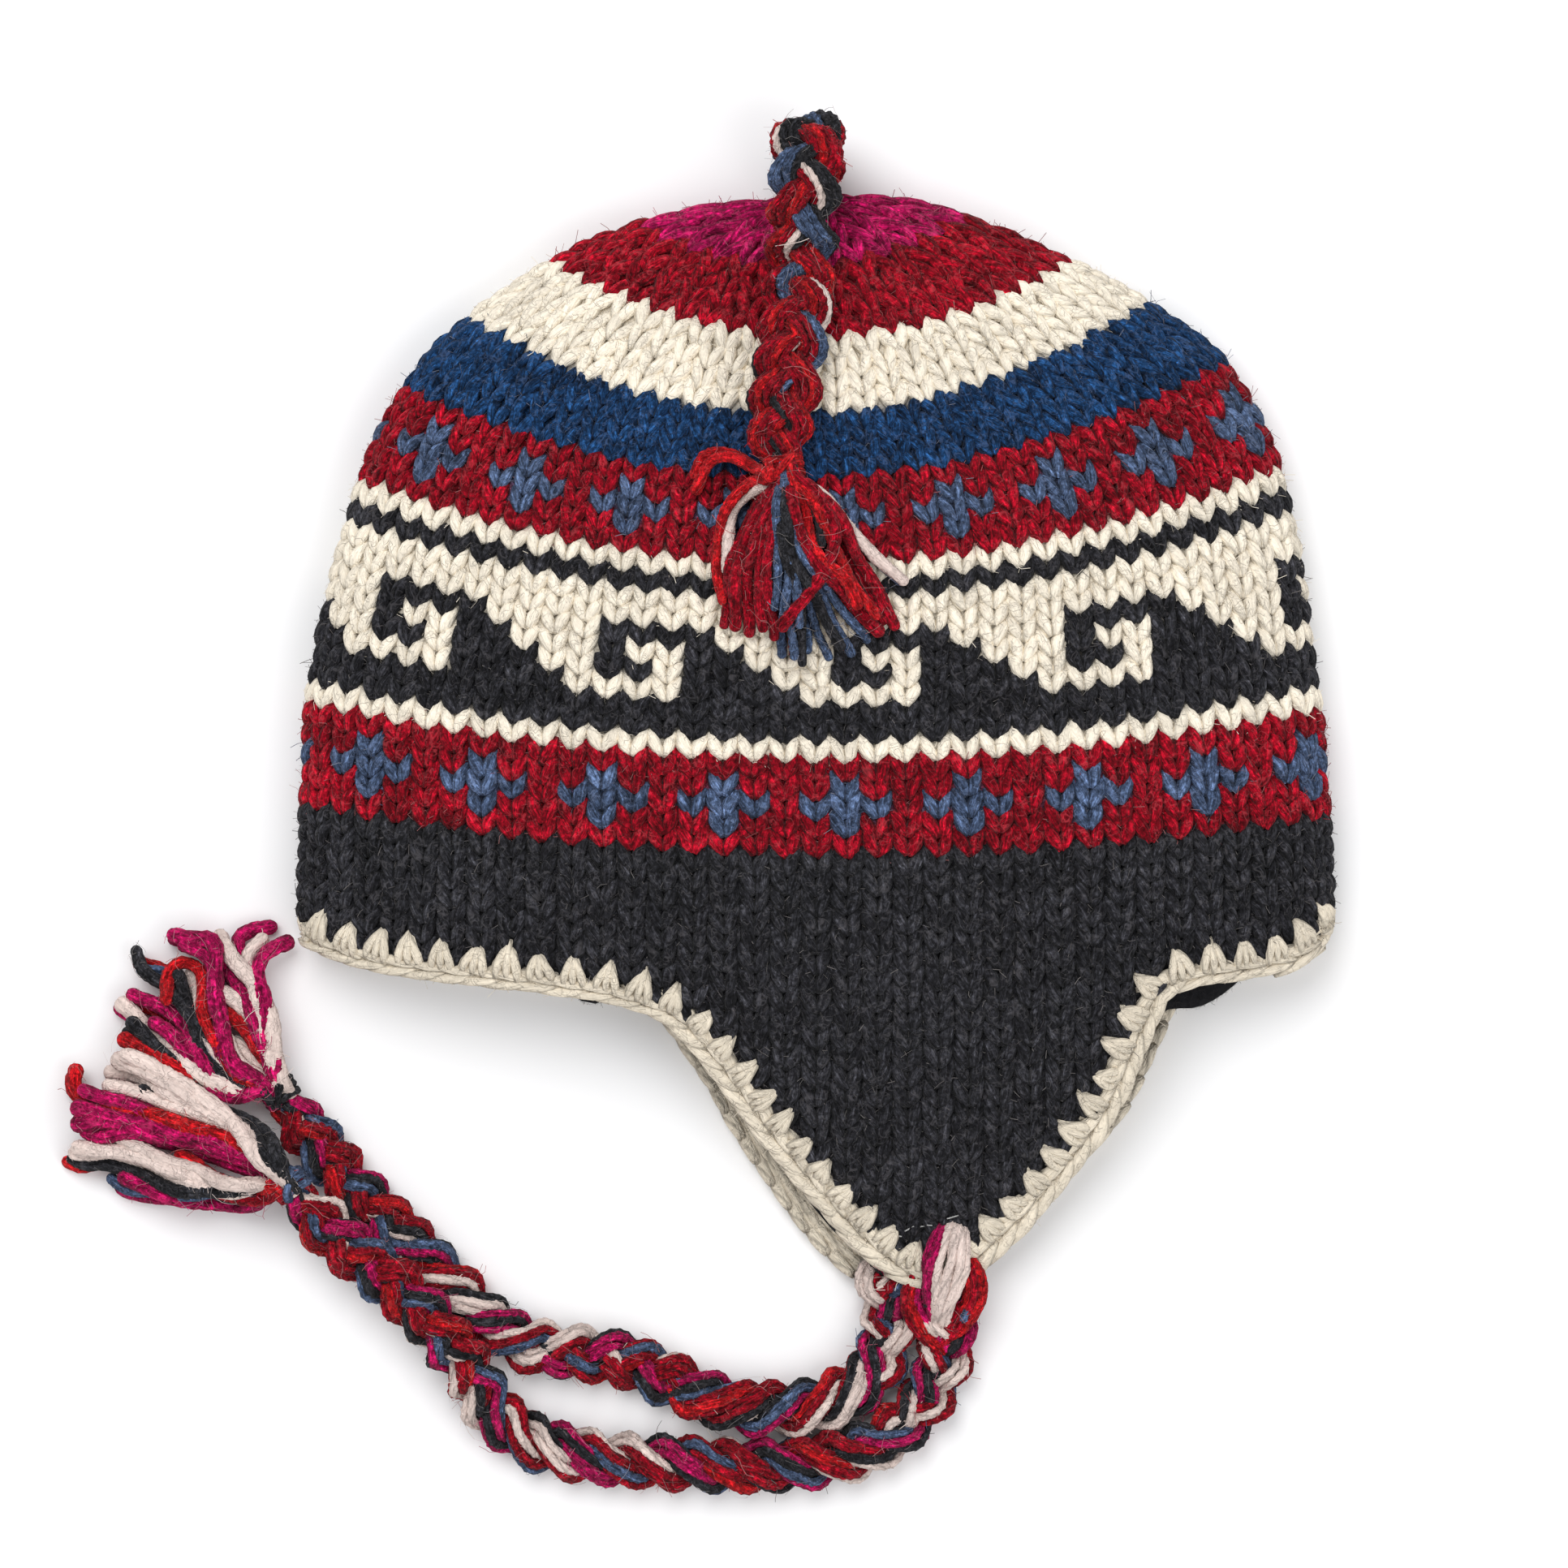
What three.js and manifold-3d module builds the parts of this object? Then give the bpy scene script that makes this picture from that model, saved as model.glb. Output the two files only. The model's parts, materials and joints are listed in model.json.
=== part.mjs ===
// Knitted ear-flap hat, lying on its side on a flat surface, in millimetres.
// +X runs along the hem, +Y from the hem to the crown and +Z up. The hat's lower half rests on z = 0.
import * as THREE from "three";
import { mergeVertices } from "three/addons/utils/BufferGeometryUtils.js";
import Module from "manifold-3d";

const wasm = await Module();
wasm.setup();

// Driving sizes of the fabric
const KNIT_WALL = 5.5;
const LINING_WALL = 2;
const EDGING_RADIUS = 2.5;
const EDGING_GAP = 0.6;
const SEAT_GAP = 0.3;
const FOLD_Z = 12; // height of the side folds, where the upper half turns into the lower half
const FOLD_CORNER = 18; // how far in from a side fold the lower half reaches the surface
const LINING_TOP_ROW = 26; // the fleece band starts at this knitted row
const LINING_GAP = 0.5; // slack between the fleece and the knit

// Driving sizes of the braids and tassels
const BRAID_RADIUS = 6.5;
const TOPKNOT_LIFT = 8.8; // of the topknot's centre over the hat, with room for its binding
const BINDING_RADIUS = 8.2;
const BINDING_SLACK = 0.7;
const BINDING_LENGTH = 6;
const TASSEL_HEAD_RADIUS = 5.6;
const LOCK_RADIUS = 2.6;

// Facets
const AROUND = 64;
const EDGING_SIDES = 8;
const BRAID_SIDES = 10;
const BINDING_SIDES = 14;
const LOCK_SIDES = 6;
const LOCK_STEPS = 5;
const KNIT_ROWS = [0.6, 1.8, 4, 6, 8, 11, 14, 17.5, 21, 26, 31, 37, 38.8, 40.6, 42.4, 44];
const LINING_ROWS = KNIT_ROWS.filter((row) => row >= LINING_TOP_ROW);
const LAST_ROUND = 37; // the last whole round above the hem; past it the fabric runs on to HEM_ROW, the hem
const HEM_ROW = 44;

// Rounds of knitting from the crown's tip to the last whole round.
// A round is a closed loop. It is at edgeY at both side folds, and lower by sag in the middle of each half.
// lean lowers its left end and raises its right end, and top and base are the heights of its two middles.
const ROUNDS = [
  { row: 0, halfWidth: 0, centreX: -1, edgeY: 141.9, sag: 0, lean: 0, top: 12, base: 12 },
  { row: 2, halfWidth: 22, centreX: -2, edgeY: 140.4, sag: 7, lean: 0.6, top: 19, base: 3 },
  { row: 4, halfWidth: 41.5, centreX: -3.4, edgeY: 136.5, sag: 12.4, lean: 1, top: 25, base: 0 },
  { row: 8, halfWidth: 67, centreX: -1.3, edgeY: 125.5, sag: 20.3, lean: 0, top: 33.5, base: 0 },
  { row: 12, halfWidth: 88, centreX: -2, edgeY: 113, sag: 28, lean: 2, top: 38.5, base: 0 },
  { row: 16, halfWidth: 106.4, centreX: -0.3, edgeY: 96.5, sag: 28, lean: 3, top: 41.5, base: 0 },
  { row: 21, halfWidth: 119.7, centreX: 1, edgeY: 70.5, sag: 24.5, lean: 1.6, top: 43.5, base: 0 },
  { row: 31, halfWidth: 131.1, centreX: -0.5, edgeY: 15.7, sag: 15, lean: -0.7, top: 44, base: 0 },
  { row: 37, halfWidth: 133.6, centreX: 0, edgeY: -16.6, sag: 11.6, lean: -1.5, top: 43, base: 0 },
];
const HEM_HALF_WIDTH = 134.5;

// Line of the knitted hem on the upper half, from the left fold to the right one, with the ear flap in it
const HEM_UPPER = [
  { x: -134.5, y: -46.5 },
  { x: -119, y: -52 },
  { x: -94, y: -56 },
  { x: -68, y: -59 },
  { x: -49, y: -62.5 },
  { x: -35, y: -68.5 },
  { x: -24, y: -80.5 },
  { x: -11, y: -98 },
  { x: 3, y: -115 },
  { x: 15, y: -127.5 },
  { x: 25, y: -134.5 },
  { x: 34, y: -136.1 },
  { x: 42, y: -130.5 },
  { x: 53, y: -120 },
  { x: 65, y: -105.5 },
  { x: 74, y: -91.5 },
  { x: 80.5, y: -76.5 },
  { x: 87, y: -62.5 },
  { x: 97, y: -57.5 },
  { x: 111, y: -55 },
  { x: 125, y: -52 },
  { x: 134.5, y: -43.5 },
];

// On the lower half the flap's point lies further left and its right edge further right
const LOWER_HEM_SHIFTS = [
  { x: -134.5, shift: 0 },
  { x: -40, shift: 1 },
  { x: 15, shift: 11 },
  { x: 45, shift: 6 },
  { x: 84, shift: -3.5 },
  { x: 134.5, shift: 0 },
];

// Height of the upper half's middle below the last round: the flap sinks onto the lower one
const UPPER_SKIRT_HEIGHTS = [
  { y: -142.5, height: 17 },
  { y: -122.5, height: 18.5 },
  { y: -97.5, height: 26 },
  { y: -63.5, height: 38.5 },
  { y: -28.5, height: 43 },
];

const SKIRT_TOP_Y = -28.5;

// Places where the fleece hangs out past the lower hem
const LINING_PEEKS = [
  { x: 100, halfWidth: 23, drop: 11 },
  { x: -59, halfWidth: 13, drop: 7.5 },
];

// Routes of the braids, from where they leave the hat to their bindings
const UPPER_TIE_ROUTE = [
  [33.2, -142.4, 13.4],
  [34.4, -149.5, 9.6],
  [34.2, -157.5, 7.2],
  [30.6, -168.5, 6.7],
  [22.8, -177.9, 6.7],
  [11.6, -184.5, 6.7],
  [-1, -187.4, 6.7],
  [-22, -188.3, 6.7],
  [-43, -187.4, 6.7],
  [-60.8, -185.5, 6.7],
  [-74.6, -181.5, 7.4],
  [-83.6, -174.5, 9.6],
  [-89, -164.9, 13.2],
  [-97.4, -152.9, 17],
  [-107.6, -141.9, 17.2],
  [-121, -130.9, 17.2],
  [-132.4, -118.9, 17.1],
  [-136.4, -114.1, 16.9],
];
const LOWER_TIE_ROUTE = [
  [17.6, -142.9, 6.7],
  [19.4, -152.5, 6.7],
  [15.4, -163.5, 6.7],
  [6.3, -170.5, 6.7],
  [-5.3, -173.5, 6.7],
  [-16.8, -173.5, 6.7],
  [-28.4, -170.3, 6.7],
  [-39.9, -165.1, 6.7],
  [-51, -160.7, 6.7],
  [-62, -158.9, 6.7],
  [-75.6, -156.7, 6.7],
  [-86, -150.5, 6.7],
  [-94.6, -141.9, 6.7],
  [-110.2, -126.3, 6.7],
  [-122.8, -113.3, 6.7],
  [-133.6, -99.7, 7.8],
  [-140, -90.1, 8.9],
];
// The topknot leaves the crown's tip, folds back over it and then lies on the upper half.
const TOPKNOT_FOLD = [
  [-1, 142.5, 9.4],
  [-1.4, 149.5, 10.6],
  [-1.8, 155.5, 16.4],
  [-2, 157.5, 24],
  [-2.2, 155.3, 31.6],
  [-2.6, 149.1, 37.4],
  [-3, 140.5, 39.6],
];
const TOPKNOT_LAID = [
  [-4, 123.5],
  [-5.6, 106.5],
  [-7.8, 89.5],
  [-9.6, 77.5],
  [-8, 69.1],
];

// Course of a lock from the tassel's head to its end: the share of the way, of its bend and of its drop
const LOCK_SHAPE = [
  { share: 0.04, bow: 0, rise: 0 },
  { share: 0.3, bow: 0.7, rise: 0.35 },
  { share: 0.65, bow: 1, rise: 0.9 },
  { share: 1, bow: 0.4, rise: 1 },
];

// Ends of the tassels' locks, seen from above, each with a bend to the left of its straight line
const UPPER_TASSEL_ENDS = [
  { x: -193.5, y: -86.5, bend: 3 },
  { x: -191.5, y: -94.5, bend: 4 },
  { x: -190.5, y: -101.5, bend: 3 },
  { x: -193, y: -109, bend: 3 },
  { x: -181.5, y: -115, bend: 3 },
  { x: -167, y: -118, bend: 4 },
  { x: -153, y: -119.5, bend: 4 },
  { x: -178, y: -85, bend: 1 },
];
const LOWER_TASSEL_ENDS = [
  { x: -139, y: -51, bend: 5 },
  { x: -147, y: -48.5, bend: 4 },
  { x: -157, y: -48, bend: 3 },
  { x: -167, y: -51.5, bend: 2 },
  { x: -175, y: -57.5, bend: -1 },
  { x: -178, y: -65.5, bend: -2 },
  { x: -180, y: -75.5, bend: -2 },
];
const TOPKNOT_TASSEL_ENDS = [
  { x: -24, y: 31.5, bend: -5 },
  { x: -17.5, y: 28, bend: -3 },
  { x: -10.5, y: 26.5, bend: -2 },
  { x: -2.5, y: 24, bend: 0 },
  { x: 5.5, y: 24, bend: 1 },
  { x: 12.5, y: 27, bend: 3 },
  { x: 18.5, y: 31, bend: 4 },
  { x: 20, y: 43.5, bend: 2 },
];

// Smooth value of a table's column at a place along another column, which rises from row to row.
function smooth(table, along, column, at) {
  const last = table.length - 1;
  let i = 0;
  while (i < last - 1 && table[i + 1][along] < at) i++;
  const slope = (j) => {
    const low = table[Math.max(j - 1, 0)];
    const high = table[Math.min(j + 1, last)];
    return (high[column] - low[column]) / (high[along] - low[along]);
  };
  const span = table[i + 1][along] - table[i][along];
  const t = THREE.MathUtils.clamp((at - table[i][along]) / span, 0, 1);
  const rest = 1 - t;
  return (
    table[i][column] * (1 + 2 * t) * rest * rest +
    table[i + 1][column] * (3 - 2 * t) * t * t +
    slope(i) * span * t * rest * rest -
    slope(i + 1) * span * t * t * rest
  );
}

function hemY(x, upper) {
  const moved = upper ? x : x + smooth(LOWER_HEM_SHIFTS, "x", "shift", x);
  return smooth(HEM_UPPER, "x", "y", moved);
}

// How much lower than the knitted hem the fleece ends.
function peek(x, upper) {
  if (upper) return 0;
  return LINING_PEEKS.reduce((sum, p) => {
    const away = Math.min(Math.abs(x - p.x) / p.halfWidth, 1);
    return sum + p.drop * (1 + Math.cos(Math.PI * away)) * 0.5;
  }, 0);
}

// Point of the hat's outer face. angle runs round a loop, from the right fold by way of the upper middle.
// extra lowers the hem, for the fleece.
function face(angle, row, extra = () => 0) {
  const across = Math.cos(angle);
  const upper = Math.sin(angle) >= 0;
  const round = Math.min(row, LAST_ROUND);
  const of = (column) => smooth(ROUNDS, "row", column, round);
  const skirt = Math.max(0, row - LAST_ROUND) / (HEM_ROW - LAST_ROUND);
  const halfWidth = THREE.MathUtils.lerp(of("halfWidth"), HEM_HALF_WIDTH, skirt);
  const x = of("centreX") * (1 - skirt) + halfWidth * across;
  let y = of("edgeY") + of("lean") * across - of("sag") * (1 - across * across);
  if (skirt > 0) y = THREE.MathUtils.lerp(y, hemY(x, upper) - extra(x, upper), skirt);
  const z = upper ? upperZ(angle, y, of("top"), skirt) : lowerZ(across, halfWidth, of("base"));
  return new THREE.Vector3(x, y, z);
}

function upperZ(angle, y, top, skirt) {
  const height = skirt > 0 ? smooth(UPPER_SKIRT_HEIGHTS, "y", "height", Math.min(y, SKIRT_TOP_Y)) : top;
  return FOLD_Z + (height - FOLD_Z) * Math.sin(angle);
}

// The lower half is flat at its base and rounds up to the side folds.
function lowerZ(across, halfWidth, base) {
  const corner = Math.min(FOLD_CORNER, halfWidth / 2);
  if (corner < 1e-6) return FOLD_Z;
  const into = Math.max(0, (Math.abs(across) - 1) * halfWidth + corner) / corner;
  const flat = Math.max(base, 0);
  return flat + (FOLD_Z - flat) * (1 - Math.sqrt(Math.max(0, 1 - into * into)));
}

// Outward normal of the outer face.
function faceNormal(angle, row, extra) {
  const step = 0.02;
  const round = face(angle + step, row, extra).sub(face(angle - step, row, extra));
  const down = face(angle, Math.min(row + step, HEM_ROW), extra).sub(face(angle, row - step, extra));
  return round.cross(down).normalize();
}

// Point at a depth under the outer face.
function under(angle, row, depth, extra) {
  return face(angle, row, extra).addScaledVector(faceNormal(angle, row, extra), -depth);
}

function angles() {
  return Array.from({ length: AROUND }, (_, i) => (2 * Math.PI * (i + 0.5)) / AROUND);
}

// Closed surface through rings of points. The first and last rings are single points, or join each other.
function skin(rings, closesOnItself = false) {
  const count = rings.find((ring) => ring.length > 1).length;
  const starts = [];
  const positions = [];
  for (const ring of rings) {
    starts.push(positions.length / 3);
    ring.forEach((p) => positions.push(p.x, p.y, p.z));
  }
  const index = [];
  const at = (ring, i) => starts[ring] + (rings[ring].length > 1 ? i % count : 0);
  const apart = (i, j) => Math.hypot(...[0, 1, 2].map((k) => positions[3 * i + k] - positions[3 * j + k]));
  const joins = closesOnItself ? rings.length : rings.length - 1;
  for (let k = 0; k < joins; k++) {
    const next = (k + 1) % rings.length;
    for (let i = 0; i < count; i++) {
      const [a, b, c, d] = [at(k, i), at(k, i + 1), at(next, i + 1), at(next, i)];
      if (a === b) index.push(a, c, d);
      else if (c === d) index.push(a, b, c);
      else if (apart(a, c) < apart(b, d)) index.push(a, b, c, a, c, d);
      else index.push(a, b, d, b, c, d);
    }
  }
  return new THREE.BufferGeometry()
    .setAttribute("position", new THREE.Float32BufferAttribute(positions, 3))
    .setIndex(index);
}

// Crown and both ear flaps, knitted in one fabric
function knitBody() {
  const ring = (row, depth) => angles().map((angle) => under(angle, row, depth));
  const tip = face(0, 0);
  const innerTip = tip.clone().setY(tip.y - KNIT_WALL);
  const outside = KNIT_ROWS.map((row) => ring(row, 0));
  const inside = KNIT_ROWS.slice(1).map((row) => ring(row, KNIT_WALL)).reverse();
  return skin([[tip], ...outside, ...inside, [innerTip]]);
}

// Fleece band inside the hem and the flaps
function fleeceLining() {
  const near = KNIT_WALL + LINING_GAP;
  const ring = (row, depth) => angles().map((angle) => under(angle, row, depth, peek));
  const outside = LINING_ROWS.map((row) => ring(row, near));
  const inside = LINING_ROWS.map((row) => ring(row, near + LINING_WALL)).reverse();
  return skin([...outside, ...inside], true);
}

// Crocheted cord that runs all the way round the hem
function crochetEdging() {
  const middle = (angle) => under(angle, HEM_ROW, KNIT_WALL / 2);
  const step = Math.PI / AROUND;
  const rings = angles().map((angle) => {
    const along = middle(angle + step).sub(middle(angle - step)).normalize();
    const out = faceNormal(angle, HEM_ROW);
    const away = out.clone().cross(along).normalize();
    out.copy(along).cross(away);
    const centre = middle(angle).addScaledVector(away, EDGING_RADIUS + EDGING_GAP);
    return Array.from({ length: EDGING_SIDES }, (_, i) => {
      const turn = (2 * Math.PI * i) / EDGING_SIDES;
      return centre
        .clone()
        .addScaledVector(away, EDGING_RADIUS * Math.cos(turn))
        .addScaledVector(out, EDGING_RADIUS * Math.sin(turn));
    });
  });
  return skin(rings, true);
}

function points(route) {
  return route.map((p) => new THREE.Vector3(...p));
}

function roundSection(radius, sides) {
  return new THREE.Shape(
    Array.from({ length: sides }, (_, i) => {
      const turn = (2 * Math.PI * i) / sides;
      return new THREE.Vector2(radius * Math.cos(turn), radius * Math.sin(turn));
    }),
  );
}

function tube(path, radius, sides, steps) {
  const section = roundSection(radius, sides);
  return new THREE.ExtrudeGeometry(section, { steps, bevelEnabled: false, extrudePath: path });
}

function braid(path) {
  const steps = Math.round(path.getLength() / (1.5 * BRAID_RADIUS));
  return tube(path, BRAID_RADIUS, BRAID_SIDES, steps);
}

// Yarn wound round the end of a braid
function binding(path) {
  const inner = BRAID_RADIUS + BINDING_SLACK;
  const half = BINDING_LENGTH / 2;
  const bevel = 0.4;
  const profile = [
    [inner, -half],
    [BINDING_RADIUS - bevel, -half],
    [BINDING_RADIUS, -half + bevel],
    [BINDING_RADIUS, half - bevel],
    [BINDING_RADIUS - bevel, half],
    [inner, half],
    [inner, -half],
  ].map(([r, h]) => new THREE.Vector2(r, h));
  const ring = new THREE.LatheGeometry(profile, BINDING_SIDES);
  const centre = path.getPointAt(1 - (half + 0.5) / path.getLength());
  const turn = new THREE.Quaternion().setFromUnitVectors(new THREE.Vector3(0, 1, 0), path.getTangentAt(1));
  return ring.applyQuaternion(turn).translate(centre.x, centre.y, centre.z);
}

function solid(geometry) {
  const bare = geometry.clone();
  bare.deleteAttribute("normal");
  bare.deleteAttribute("uv");
  const merged = mergeVertices(bare, 1e-3);
  return new wasm.Manifold(
    new wasm.Mesh({
      numProp: 3,
      vertProperties: new Float32Array(merged.attributes.position.array),
      triVerts: new Uint32Array(merged.index.array),
    }),
  );
}

function geometryOf(made) {
  const mesh = made.getMesh();
  return new THREE.BufferGeometry()
    .setAttribute("position", new THREE.Float32BufferAttribute(mesh.vertProperties, 3))
    .setIndex(new THREE.BufferAttribute(mesh.triVerts, 1));
}

// Locks of loose yarn that spread from a round head at the end of a braid.
// restHeight gives the height of a lock's centre over what it lies on.
function tassel(path, ends, restHeight) {
  const end = path.getPointAt(1);
  const onward = path.getTangentAt(1);
  const head = end.clone().addScaledVector(onward, TASSEL_HEAD_RADIUS + SEAT_GAP);
  const ball = new THREE.SphereGeometry(TASSEL_HEAD_RADIUS, 10, 8).translate(head.x, head.y, head.z);
  let made = solid(ball);
  ends.forEach(({ x, y, bend }, i) => {
    const reach = new THREE.Vector2(x - head.x, y - head.y);
    const side = new THREE.Vector2(-reach.y, reach.x).normalize().multiplyScalar(bend);
    const lift = (i % 2) * LOCK_RADIUS;
    const at = (share, bow, rise) => {
      const px = head.x + reach.x * share + side.x * bow;
      const py = head.y + reach.y * share + side.y * bow;
      return new THREE.Vector3(px, py, THREE.MathUtils.lerp(head.z, restHeight(px, py) + lift, rise));
    };
    const lock = new THREE.CatmullRomCurve3(LOCK_SHAPE.map(({ share, bow, rise }) => at(share, bow, rise)));
    made = made.add(solid(tube(lock, LOCK_RADIUS, LOCK_SIDES, LOCK_STEPS)));
  });
  return geometryOf(made);
}

// Height of the upper half's outer face at a place seen from above.
function upperHeight(x, y) {
  let low = 0;
  let high = LAST_ROUND;
  let best = FOLD_Z;
  for (let i = 0; i < 30; i++) {
    const row = (low + high) / 2;
    const of = (column) => smooth(ROUNDS, "row", column, row);
    const across = THREE.MathUtils.clamp((x - of("centreX")) / of("halfWidth"), -1, 1);
    const here = face(Math.acos(across), row);
    best = here.z;
    if (here.y > y) low = row;
    else high = row;
  }
  return best;
}

function onHat(x, y) {
  return upperHeight(x, y) + LOCK_RADIUS + 2 * SEAT_GAP;
}

function onFloor() {
  return LOCK_RADIUS + 0.1;
}

const upperTiePath = new THREE.CatmullRomCurve3(points(UPPER_TIE_ROUTE));
const lowerTiePath = new THREE.CatmullRomCurve3(points(LOWER_TIE_ROUTE));
const topknotPath = new THREE.CatmullRomCurve3([
  ...points(TOPKNOT_FOLD),
  ...TOPKNOT_LAID.map(([x, y]) => new THREE.Vector3(x, y, upperHeight(x, y) + TOPKNOT_LIFT)),
]);

const charcoalWool = new THREE.MeshStandardMaterial({ color: 0x3a3b3e, roughness: 0.95, metalness: 0 });
const blackFleece = new THREE.MeshStandardMaterial({ color: 0x141416, roughness: 1, metalness: 0 });
const creamWool = new THREE.MeshStandardMaterial({ color: 0xd9cfbb, roughness: 0.95, metalness: 0 });
const mixedWool = new THREE.MeshStandardMaterial({ color: 0x9c1526, roughness: 0.95, metalness: 0 });
const steelBlueWool = new THREE.MeshStandardMaterial({ color: 0x44658f, roughness: 0.95, metalness: 0 });

const hat = new THREE.Group();

function add(name, geometry, material, parent = hat) {
  const mesh = new THREE.Mesh(geometry, material);
  mesh.name = name;
  parent.add(mesh);
}

function addBraid(name, path, tasselEnds, restHeight) {
  const group = new THREE.Group();
  add(`${name}_braid`, braid(path), mixedWool, group);
  add(`${name}_binding`, binding(path), steelBlueWool, group);
  add(`${name}_tassel`, tassel(path, tasselEnds, restHeight), mixedWool, group);
  hat.add(group);
}

add("knit_body", knitBody(), charcoalWool);
add("fleece_lining", fleeceLining(), blackFleece);
add("crochet_edging", crochetEdging(), creamWool);
addBraid("topknot", topknotPath, TOPKNOT_TASSEL_ENDS, onHat);
addBraid("upper_tie", upperTiePath, UPPER_TASSEL_ENDS, onFloor);
addBraid("lower_tie", lowerTiePath, LOWER_TASSEL_ENDS, onFloor);

export default hat;
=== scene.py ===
# %% [markdown]
# A chunky earflap beanie, knitted in bands of wool, lies on its side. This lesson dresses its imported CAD
# model: every stitch, braid, tassel and crochet loop becomes real yarn, laid where the CAD solids are.

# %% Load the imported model
import json
import math

import bpy
import numpy as np
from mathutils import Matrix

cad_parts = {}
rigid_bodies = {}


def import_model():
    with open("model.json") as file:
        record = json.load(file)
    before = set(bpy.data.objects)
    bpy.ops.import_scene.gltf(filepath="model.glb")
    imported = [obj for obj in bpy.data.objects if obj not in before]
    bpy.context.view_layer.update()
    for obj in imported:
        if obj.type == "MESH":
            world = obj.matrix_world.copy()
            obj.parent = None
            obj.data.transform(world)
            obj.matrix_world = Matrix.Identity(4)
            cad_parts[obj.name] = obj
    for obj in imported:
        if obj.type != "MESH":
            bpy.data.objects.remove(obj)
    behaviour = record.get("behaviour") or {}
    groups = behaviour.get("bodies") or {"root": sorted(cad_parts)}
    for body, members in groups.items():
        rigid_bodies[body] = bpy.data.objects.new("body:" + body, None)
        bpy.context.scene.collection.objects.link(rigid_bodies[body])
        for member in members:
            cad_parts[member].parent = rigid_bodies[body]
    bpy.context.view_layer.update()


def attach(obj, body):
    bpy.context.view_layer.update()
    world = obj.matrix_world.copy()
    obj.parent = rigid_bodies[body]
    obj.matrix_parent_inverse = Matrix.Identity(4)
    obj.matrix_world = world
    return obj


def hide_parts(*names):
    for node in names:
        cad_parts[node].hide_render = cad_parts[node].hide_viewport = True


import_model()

MM = 0.001
chance = np.random.default_rng(11)

# %% [markdown]
# The photograph was taken from straight above. A long lens far away keeps the hat's rounded top from
# spreading over its own edges, which suits a flat lay. The picture is square, and one of its pixels is a
# fixed size on the table, so the camera's height and lens follow from that.

# %% Camera
PICTURE_SIDE = 1932
PIXEL_SIZE = 0.21 * MM
FOCUS_HEIGHT = 0.02
CAMERA_DISTANCE = 1.6
SENSOR_WIDTH = 36
PICTURE_CENTRE = (-0.0082, -0.0105)

camera = bpy.data.objects.new("camera", bpy.data.cameras.new("camera"))
bpy.context.scene.collection.objects.link(camera)
camera.location = (*PICTURE_CENTRE, FOCUS_HEIGHT + CAMERA_DISTANCE)
camera.data.sensor_width = SENSOR_WIDTH
camera.data.lens = SENSOR_WIDTH * CAMERA_DISTANCE / (PICTURE_SIDE * PIXEL_SIZE)
camera.data.clip_end = 10
bpy.context.scene.camera = camera
print("lens in mm:", round(camera.data.lens, 1))

# %% [markdown]
# Knitting follows a surface, so the hat's outer face is written as one function. It uses the same sections
# as the CAD model: a row of numbers for each round of knitting, and a line for the hem with its ear flap.
# A cubic through each column gives the places between. Everything is in millimetres until a mesh is made.

# %% The hat's outer face
def table(columns, rows):
    data = np.array(rows, float)
    return {name: data[:, i] for i, name in enumerate(columns.split())}


ROUNDS = table("row half_width centre_x edge_y sag lean top base", [
    (0, 0, -1, 141.9, 0, 0, 12, 12),
    (2, 22, -2, 140.4, 7, 0.6, 19, 3),
    (4, 41.5, -3.4, 136.5, 12.4, 1, 25, 0),
    (8, 67, -1.3, 125.5, 20.3, 0, 33.5, 0),
    (12, 88, -2, 113, 28, 2, 38.5, 0),
    (16, 106.4, -0.3, 96.5, 28, 3, 41.5, 0),
    (21, 119.7, 1, 70.5, 24.5, 1.6, 43.5, 0),
    (31, 131.1, -0.5, 15.7, 15, -0.7, 44, 0),
    (37, 133.6, 0, -16.6, 11.6, -1.5, 43, 0),
])
LAST_ROUND = 37
HEM_ROW = 44
HEM_HALF_WIDTH = 134.5
HEM_UPPER = table("x y", [
    (-134.5, -46.5), (-119, -52), (-94, -56), (-68, -59), (-49, -62.5), (-35, -68.5), (-24, -80.5),
    (-11, -98), (3, -115), (15, -127.5), (25, -134.5), (34, -136.1), (42, -130.5), (53, -120),
    (65, -105.5), (74, -91.5), (80.5, -76.5), (87, -62.5), (97, -57.5), (111, -55), (125, -52),
    (134.5, -43.5),
])
LOWER_HEM_SHIFTS = table("x shift", [(-134.5, 0), (-40, 1), (15, 11), (45, 6), (84, -3.5), (134.5, 0)])
UPPER_SKIRT_HEIGHTS = table("y height", [
    (-142.5, 17), (-122.5, 18.5), (-97.5, 26), (-63.5, 38.5), (-28.5, 43)])
SKIRT_TOP_Y = -28.5
LINING_PEEKS = table("x half_width drop", [(100, 23, 11), (-59, 13, 7.5)])
FOLD_Z = 12
FOLD_CORNER = 18
KNIT_WALL = 5.5


def smooth(source, along, column, at):
    xs, ys = source[along], source[column]
    last = len(xs) - 1
    low = np.maximum(np.arange(last + 1) - 1, 0)
    high = np.minimum(np.arange(last + 1) + 1, last)
    slope = (ys[high] - ys[low]) / (xs[high] - xs[low])
    i = np.clip(np.searchsorted(xs, at) - 1, 0, last - 1)
    span = xs[i + 1] - xs[i]
    t = np.clip((at - xs[i]) / span, 0, 1)
    rest = 1 - t
    ends = ys[i] * (1 + 2 * t) * rest * rest + ys[i + 1] * (3 - 2 * t) * t * t
    return ends + slope[i] * span * t * rest * rest - slope[i + 1] * span * t * t * rest


def hem_y(x, upper):
    return smooth(HEM_UPPER, "x", "y", np.where(upper, x, x + smooth(LOWER_HEM_SHIFTS, "x", "shift", x)))


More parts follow.
